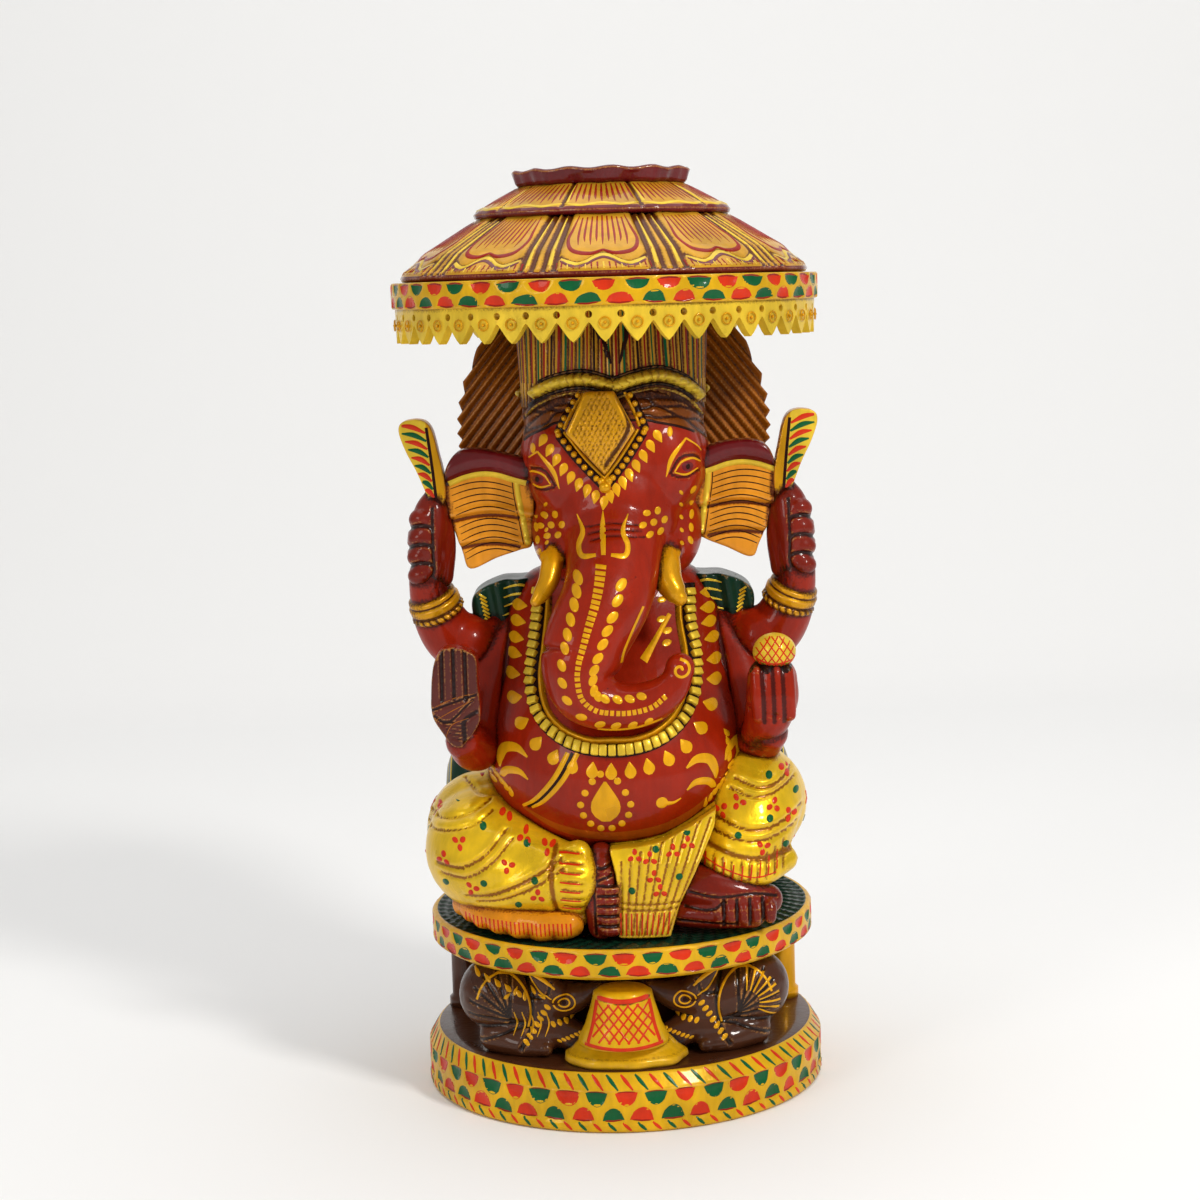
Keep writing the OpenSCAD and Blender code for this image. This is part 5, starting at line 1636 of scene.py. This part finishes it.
for shift in (-1.5, 1.5):
    cord = [(-14.2 + shift, 119.4), (-19 + shift, 111), (-25.2 + shift, 103.6), (-29.6 + shift, 100.4)]
    daub(marks, on_belly, cord, [0.8, 0.8, 0.7, 0.5], n=26)
thin(marks, on_belly, [(-14.2, 119.4), (-19, 111), (-25.2, 103.6), (-29.6, 100.4)], 0.6, n=26, lift=0.1,
     paint=1)
leaf = [0.3, 1.3, 1.5, 1.2, 0.3]
for way, (cx, cz) in ((-1, (-34, 114)), (1, (27, 110))):
    for path, width in (
        ([(-5, 3), (-1.5, 5.4), (2.6, 4.6), (4.4, 1), (4.6, -2)], 1.0),
        ([(-5, -4.2), (-2, -2), (2, -2.4), (3.8, -4.4), (4, -5)], 0.8),
        ([(8, 3), (9.5, 6.5), (12.4, 8.4), (13, 4.4), (11, 1.4)], 0.9),
    ):
        if way < 0:
            path = [(-x, z) for x, z in path]
        daub(marks, on_belly, [(cx + x, cz + z) for x, z in path], [w * width for w in leaf], n=20)
    for k in range(7):
        tear(marks, on_belly, cx + way * (1 + k * 1.7), cz - 9.5 + k * 1.6, 3.6, 1.7,
             way * (0.2 + 0.22 * k))
        tear(marks, on_belly, cx + way * (10.5 - k * 0.3), cz - 4 + k * 2.6, 3.2, 1.5,
             way * (1.2 - 0.3 * k))
    for k in range(6):
        dot(marks, on_belly, cx + way * (7 + k * 1.9), cz - 7 + k * 2.1, 1.0 - 0.06 * k, tall=1.5,
            lean=way * 0.9)
        dot(marks, on_belly, cx + way * (9.5 + k * 1.5), cz - 3 + k * 2.3, 0.7, tall=1.4, lean=-way * 0.5)
dot(marks, on_belly, 13.8, 102.6, 1.9)
daub(marks, on_belly, [(13.8, 102.4), (17.4, 102.2), (20, 103.4)], [0.9, 0.5, 0.2], n=8)
daub(marks, on_belly, [(-31, 100), (-19, 94), (-4, 91.6), (12, 93), (24, 98), (34, 106)],
     [0.4, 1.2, 1.5, 1.5, 1.2, 0.4], n=60, lift=0.12, paint=2)
on_chest = facing(skin_of(bpy.data.objects["torso_carved"]))
daub(marks, on_chest, [(9.4, 145.6), (13.5, 151.5), (18.6, 159)], [1.4, 0.9, 0.7], n=14)
for k, (x, z) in enumerate(((16.2, 163.6), (15.8, 157.6), (17.6, 154), (17.2, 150.4))):
    dot(marks, on_chest, x, z, 1.0, tall=1.6, lean=1.4)
gold_wash = enamel("gold_wash", (160, 72, 12), stain_and_shade=(90, 30, 6), metal=0.2)
piece("belly_brushwork", marks, [gold_line, black_line, gold_wash], sheet=0.25)

# --- Bolster and shawl ends ---
# A round cushion behind the back and two ends of a shawl over the shoulders, dark green with
# painted yellow stripes and a twisted cord along the edge.
low, high = span("bolster")
roll_r, roll_l = (high.z - low.z) / 2, high.x
roll = turned(
    filled([(0, -roll_l), (roll_r * 0.6, -roll_l + 0.5), (roll_r * 0.86, -roll_l + 3),
            (roll_r * 0.97, -roll_l + 9)], 2)
    + filled([(roll_r - 0.2, -roll_l + 12), (roll_r - 0.2, roll_l - 12)], 2.2)
    + filled([(roll_r * 0.97, roll_l - 9), (roll_r * 0.86, roll_l - 3), (roll_r * 0.6, roll_l - 0.5),
              (0, roll_l)], 2),
    120,
)
tipped(roll, "Y")
co = coords(roll)
tuft = np.exp(-(((np.abs(co[:, 0]) - roll_l + 10) / 1.4) ** 2))
co[:, 1:] *= (1 - 0.05 * tuft)[:, None]
set_coords(roll, co)
mark(roll, tuft)
moved(roll, 0, (low.y + high.y) / 2, (low.z + high.z) / 2)
bmesh.ops.recalc_face_normals(roll, faces=roll.faces)
roll_tree = tree_of(roll)
mid_y, mid_z = (low.y + high.y) / 2, (low.z + high.z) / 2


def on_roll(u, v):
    a = v / roll_r
    way = Vector((0, -math.cos(a), math.sin(a)))
    hit = roll_tree.ray_cast(Vector((u, mid_y, mid_z)) + way * 90, -way)
    return (hit[0], hit[1]) if hit[0] is not None else None


piece("bolster_roll", roll, [green], ["bolster"])
marks = bmesh.new()
for way in (-1, 1):
    for k in range(15):
        x = way * (roll_l - 14 - k * 3.1)
        for part in range(4):
            v0 = (part - 0.42) * roll_r * math.pi / 2
            thin(marks, on_roll, [(x, v0), (x + way * 0.6, v0 + roll_r * 0.75), (x, v0 + roll_r * 1.53)],
                 [0.3, 0.4, 0.3], n=14, lift=0.15)
for way in (-1, 1):
    for r in (6, 12, 18, 22):
        hoop = [(r - 0.45, 0), (r, 0.35), (r + 0.45, 0), (r, -0.35), (r - 0.45, 0)]
        hoop = turned(hoop, 60)
        tipped(hoop, "Y")
        flat = roll_l - 0.5 if r < 16 else roll_l - 1.4 if r < 20 else roll_l - 2.6
        moved(hoop, way * flat, mid_y, mid_z)
        piece(f"bolster_hoop_{'left' if way > 0 else 'right'}_{r}", hoop, [pale_gold])
piece("bolster_stripes", marks, [pale_gold], sheet=0.25)
for way, side_name in ((-1, "right"), (1, "left")):
    low, high = span(side_name + "_shawl")
    cloth_line = [(way * 24.5, 171), (way * 31, 170.4), (way * 38, 170), (way * 46.5, 165.5),
                  (way * 47, 158), (way * 43, 150), (way * 40.5, 140), (way * 37.8, 129),
                  (way * 33.5, 130.5), (way * 30.5, 140), (way * 29.5, 152), (way * 25, 163)]
    shawl = slab(closed(cloth_line, 80), low.y - 3.2, high.y, 0.7, 5)
    co = coords(shawl)
    co[:, 1] += 0.8 * np.sin(co[:, 0] * 0.9 + co[:, 2] * 0.16) * (co[:, 1] < 8)
    set_coords(shawl, co)
    hollows(shawl, 0.6)
    on_shawl = facing(tree_of(shawl))
    piece(side_name + "_shawl_folded", shawl, [green], [side_name + "_shawl"])
    marks = bmesh.new()
    for k in range(12):
        z = 168 - k * 3.0
        x0 = 27 + max(0, k - 2) * 0.5
        thin(marks, on_shawl, [(way * x0, z - 1.4), (way * (x0 + 4), z + 0.6), (way * (x0 + 9.5), z - 0.6)],
             [0.2, 0.45, 0.2], n=12, lift=0.15)
    for k in range(26):
        z = 165 - k * 1.35
        x0 = 43.6 - 0.19 * (165 - z)
        thin(marks, on_shawl, [(way * (x0 - 1.1), z - 0.8), (way * (x0 + 1.1), z + 0.8)], 0.35, n=5,
             lift=0.4, paint=k % 2)
    piece(side_name + "_shawl_stripes", marks, [pale_gold, yellow], sheet=0.25)

# --- Mice ---
# Two small crouching mice carved in one with pointed ears and fan-shaped rumps, painted brown
# with gold edges and yellow dabs. They sit on the plinth and face the bowl.
for way, side_name in ((-1, "right"), (1, "left")):
    mouse = bmesh.new()
    worm(mouse, [(way * 8.5, -45, 41.5), (way * 14, -43, 38.6), (way * 20, -40, 36.6), (way * 28, -37, 35)],
         [2.2, 4.4, 6.4, 8.2], n=40)
    worm(mouse, [(way * 26, -37, 33), (way * 34, -34, 35), (way * 42, -30, 36.5)], [8.6, 11, 12.6], n=30)
    worm(mouse, [(way * 14, -43, 25), (way * 20, -41, 26), (way * 30, -40, 26)], [3.6, 5.4, 6.4], n=20)
    worm(mouse, [(way * 13, -46, 21.6), (way * 19, -44, 24), (way * 22, -41, 30)], [2.4, 3, 4], n=14)
    worm(mouse, [(way * 26, -46, 21.8), (way * 34, -42, 22.4), (way * 42, -36, 24)], [2.6, 4.4, 6], n=14)
    worm(mouse, [(way * 22, -44, 40), (way * 26, -44, 44), (way * 30.5, -43, 46.8)], [4, 3.4, 1.2], n=14)
    mouse = fused(mouse, 0.6, 5)
    co = coords(mouse)
    co[:, 2] = np.maximum(co[:, 2], base_top - 0.1)
    set_coords(mouse, co)
    fan = [[(way * (33 + 17 * math.sin(a) * 0.25), 30),
            (way * (36 + 15 * math.cos(a)), 33 + 15 * math.sin(a))]
           for a in np.linspace(-0.7, 1.5, 8)]
    carve(mouse, fan, 0.5, 0.6, stain_and_shade=0.9)
    carve(mouse, [[(way * 31.6, 45), (way * 30, 37), (way * 31, 28), (way * 34, 22)]], 0.7, 1.0)
    carve(mouse, [[(way * 12, 34.6), (way * 17, 31.6), (way * 22, 31)],
                  [(way * 23.5, 44), (way * 25.6, 39), (way * 30, 38.6)]], 0.5, 0.6)
    hollows(mouse, 0.6)
    on_mouse = facing(tree_of(mouse))
    piece(side_name + "_mouse_carved", mouse, [brown], [side_name + "_mouse"])
    marks = bmesh.new()
    for r in (1.5, 2.9):
        ring = [(way * (19.6 + r * 1.25 * math.cos(a)), 37.2 + r * math.sin(a))
                for a in np.linspace(0, 6.0, 12)]
        thin(marks, on_mouse, ring, 0.28, n=36, lift=0.15)
    dot(marks, on_mouse, way * 19.6, 37.2, 0.8, paint=1)
    daub(marks, on_mouse, [(way * 22.4, 42), (way * 26, 45), (way * 30.2, 46.6)], [0.3, 0.6, 0.2], n=12)
    daub(marks, on_mouse, [(way * 23.6, 38.6), (way * 27.6, 41), (way * 30.6, 46)], [0.2, 0.5, 0.2], n=12)
    for k in range(5 if way < 0 else 0):
        tear(marks, on_mouse, -48 + k * 3.4, 45.6 - 1.4 * k, 3.2, 1.5, -0.7)
        tear(marks, on_mouse, -38 + k * 2.8, 39 + 1.6 * (k % 2), 2.8, 1.2, 0.9 - 0.5 * k)
        thin(marks, on_mouse, [(-36 + k * 2.6, 34), (-35 + k * 2.6, 30), (-36.4 + k * 2.6, 26)],
             [0.15, 0.3, 0.1], n=10)
    for k, a in enumerate(np.linspace(-0.5, 1.5, 9) if way > 0 else ()):
        spoke = [(way * (39.5 + r * math.cos(a)), 34 + r * math.sin(a)) for r in (4.5, 11.5)]
        thin(marks, on_mouse, spoke, [0.2, 0.42], n=8, lift=0.15)
    rump = [(way * (39.5 + 9 * math.cos(a)), 34 + 11.6 * math.sin(a)) for a in np.linspace(0.3, 3.6, 10)]
    thin(marks, on_mouse, rump, 0.35, n=40, lift=0.15)
    for k in range(7):
        dot(marks, on_mouse, way * (25 + k * 1.2), 35.6 - 1.9 * k, 0.75, tall=1.7, lean=way * 0.9)
        dot(marks, on_mouse, way * (13 + k * 1.4), 27.4 - 0.5 * k, 0.5, tall=1.8, lean=way * 1.1)
    for k in range(4):
        dot(marks, on_mouse, way * (17 + k * 2.1), 31 - k * 0.4, 0.7, tall=1.6, lean=way * 0.6)
    piece(side_name + "_mouse_marks", marks, [gold_line, black_line], sheet=0.2)

# --- Bowl of sweets ---
# A turned dish on the plinth with a heap of sweets, its front painted with a red lattice.
low, high = span("offering_bowl")
bowl_x, bowl_y, bowl_r = (low.x + high.x) / 2, (low.y + high.y) / 2, (high.x - low.x) / 2
dish = turned(
    filled([(0, low.z), (bowl_r - 1, low.z), (bowl_r, low.z + 1)], 2)
    + filled([(bowl_r - 0.6, low.z + 2.4), (bowl_r - 4, low.z + 4.6), (bowl_r - 7.4, high.z)], 0.7)
    + [(8, high.z + 0.4), (0, high.z + 0.4)],
    240,
)
co, turn, reach = polar(dish)
lip = np.clip((low.z + 5 - co[:, 2]) / 5, 0, 1)
corner = 0.05 * np.abs(np.sin(turn * 2)) ** 6 + 0.02 * np.sin(turn * 9)
co[:, :2] *= (1 - (0.06 - corner) * lip)[:, None]
co[:, 1] *= (high.y - low.y) / (high.x - low.x)
set_coords(dish, co)
mark(dish, np.exp(-(((co[:, 2] - low.z - 3.2) / 0.5) ** 2)) * 0.35)
moved(dish, bowl_x, bowl_y, 0)
piece("offering_bowl_turned", dish, [yellow], ["offering_bowl"])
low, high = span("sweet_heap")
heap = turned(
    filled([(0, low.z - 1), (14.4, low.z - 1), (14.6, low.z + 0.6)], 1)
    + filled([(12.4, low.z + 5), (10.2, high.z - 2), (9.4, high.z + 1.6)], 0.8)
    + filled([(7.6, high.z + 2.8), (3, high.z + 3.2), (0, high.z + 3.2)], 0.8),
    120,
)
co = coords(heap)
co[:, 1] *= 0.82
set_coords(heap, co)
moved(heap, -0.5, (low.y + high.y) / 2 - 0.2, 0)
carve(heap, [[(-8.4, high.z + 0.6), (0, high.z - 0.4), (8, high.z + 0.6)]], 0.5, 0.4)
on_heap = facing(tree_of(heap))
piece("sweet_heap_carved", heap, [yellow], ["sweet_heap"])
marks = bmesh.new()
for k in range(-4, 5):
    for lean in (-1, 1):
        line = [(-0.5 + k * 3.1 - lean * 5, low.z + 1.4), (-0.5 + k * 3.1 + lean * 5, high.z - 0.8)]
        pts = [(x, z) for x, z in eased(line, 50) if abs(x + 0.5) < 10.6 - (z - low.z) * 0.18]
        if len(pts) > 12:
            thin(marks, on_heap, [tuple(pts[0]), tuple(pts[len(pts) // 2]), tuple(pts[-1])], 0.3, n=18,
                 lift=0.15)
for line, width in (
    ([(-12, low.z + 1), (-10.4, low.z + 6), (-8.8, high.z)], 0.5),
    ([(11, low.z + 1), (9.4, low.z + 6), (7.8, high.z)], 0.5),
    ([(-9.4, high.z + 1), (-0.5, high.z + 0.2), (8.4, high.z + 1)], 0.8),
    ([(-13, low.z + 0.4), (-0.5, low.z - 0.3), (12, low.z + 0.4)], 0.6),
):
    thin(marks, on_heap, line, width, n=24, lift=0.3)
piece("sweet_heap_lattice", marks, [chip_red], sheet=0.25)

# --- Painted shade and stain at the joints, wear and painted highlight on the edges ---
# Each piece is darkened close to its neighbours: painted shade where one piece meets another,
# together with dark stain left in the joints. Along edges that curve more tightly than a few
# millimetres the paint is lightened: paint worn thin by handling, and painted highlight.
CELL = 0.9
MARGIN = 3
low_all = np.array(first_box[0]) * 1000 - 6
shape = tuple(np.ceil((np.array(first_box[1]) * 1000 + 6 - low_all) / CELL).astype(int) + 1)
cells = {}
for obj in carved:
    flat = np.empty(len(obj.data.vertices) * 3)
    obj.data.vertices.foreach_get("co", flat)
    place_of = ((flat.reshape(-1, 3) * 1000 - low_all) / CELL).astype(int)
    cells[obj.name] = np.clip(place_of, MARGIN, np.array(shape) - MARGIN - 1)
filled_by = np.zeros(shape, np.int16)
for spots in cells.values():
    filled_by[tuple(np.unique(spots, axis=0).T)] += 1
for obj in carved:
    spots = cells[obj.name]
    start, stop = spots.min(0) - MARGIN, spots.max(0) + MARGIN + 1
    near = filled_by[tuple(slice(a, b) for a, b in zip(start, stop))].astype(np.float32)
    near[tuple(np.unique(spots - start, axis=0).T)] -= 1
    near = (near > 0).astype(np.float32)
    for axis in (0, 1, 2) * 2:
        near = 0.5 * near + 0.25 * (np.roll(near, 1, axis) + np.roll(near, -1, axis))
    cut_of = obj.data.attributes.get("cut") or obj.data.attributes.new("cut", "FLOAT", "POINT")
    values = np.empty(len(obj.data.vertices), np.float32)
    cut_of.data.foreach_get("value", values)
    values = np.maximum(values, np.clip(near[tuple((spots - start).T)] * 1.5, 0, 0.6))
    cut_of.data.foreach_set("value", values)

    # Edge lightening from curvature: wear, and painted highlight on sharp edges.
    data = obj.data
    count = len(data.vertices)
    co, normals = np.empty(count * 3), np.empty(count * 3)
    data.vertices.foreach_get("co", co)
    data.vertices.foreach_get("normal", normals)
    pairs = np.empty(len(data.edges) * 2, np.int32)
    data.edges.foreach_get("vertices", pairs)
    a, b = pairs.reshape(-1, 2).T
    co = co.reshape(-1, 3) * 1000
    step = co[b] - co[a]
    length = np.linalg.norm(step, axis=1)
    drop = [np.bincount(a, step[:, i], count) - np.bincount(b, step[:, i], count) for i in range(3)]
    drop = -(np.stack(drop, 1) * normals.reshape(-1, 3)).sum(1)
    reach = np.bincount(a, length**2, count) + np.bincount(b, length**2, count)
    bend = 2 * drop / np.maximum(reach, 1e-6)
    wear_and_highlight_of = data.attributes.new("wear_and_highlight", "FLOAT", "POINT")
    wear_and_highlight_of.data.foreach_set("value", np.clip((bend - 0.25) / 0.6, 0, 1).astype(np.float32))
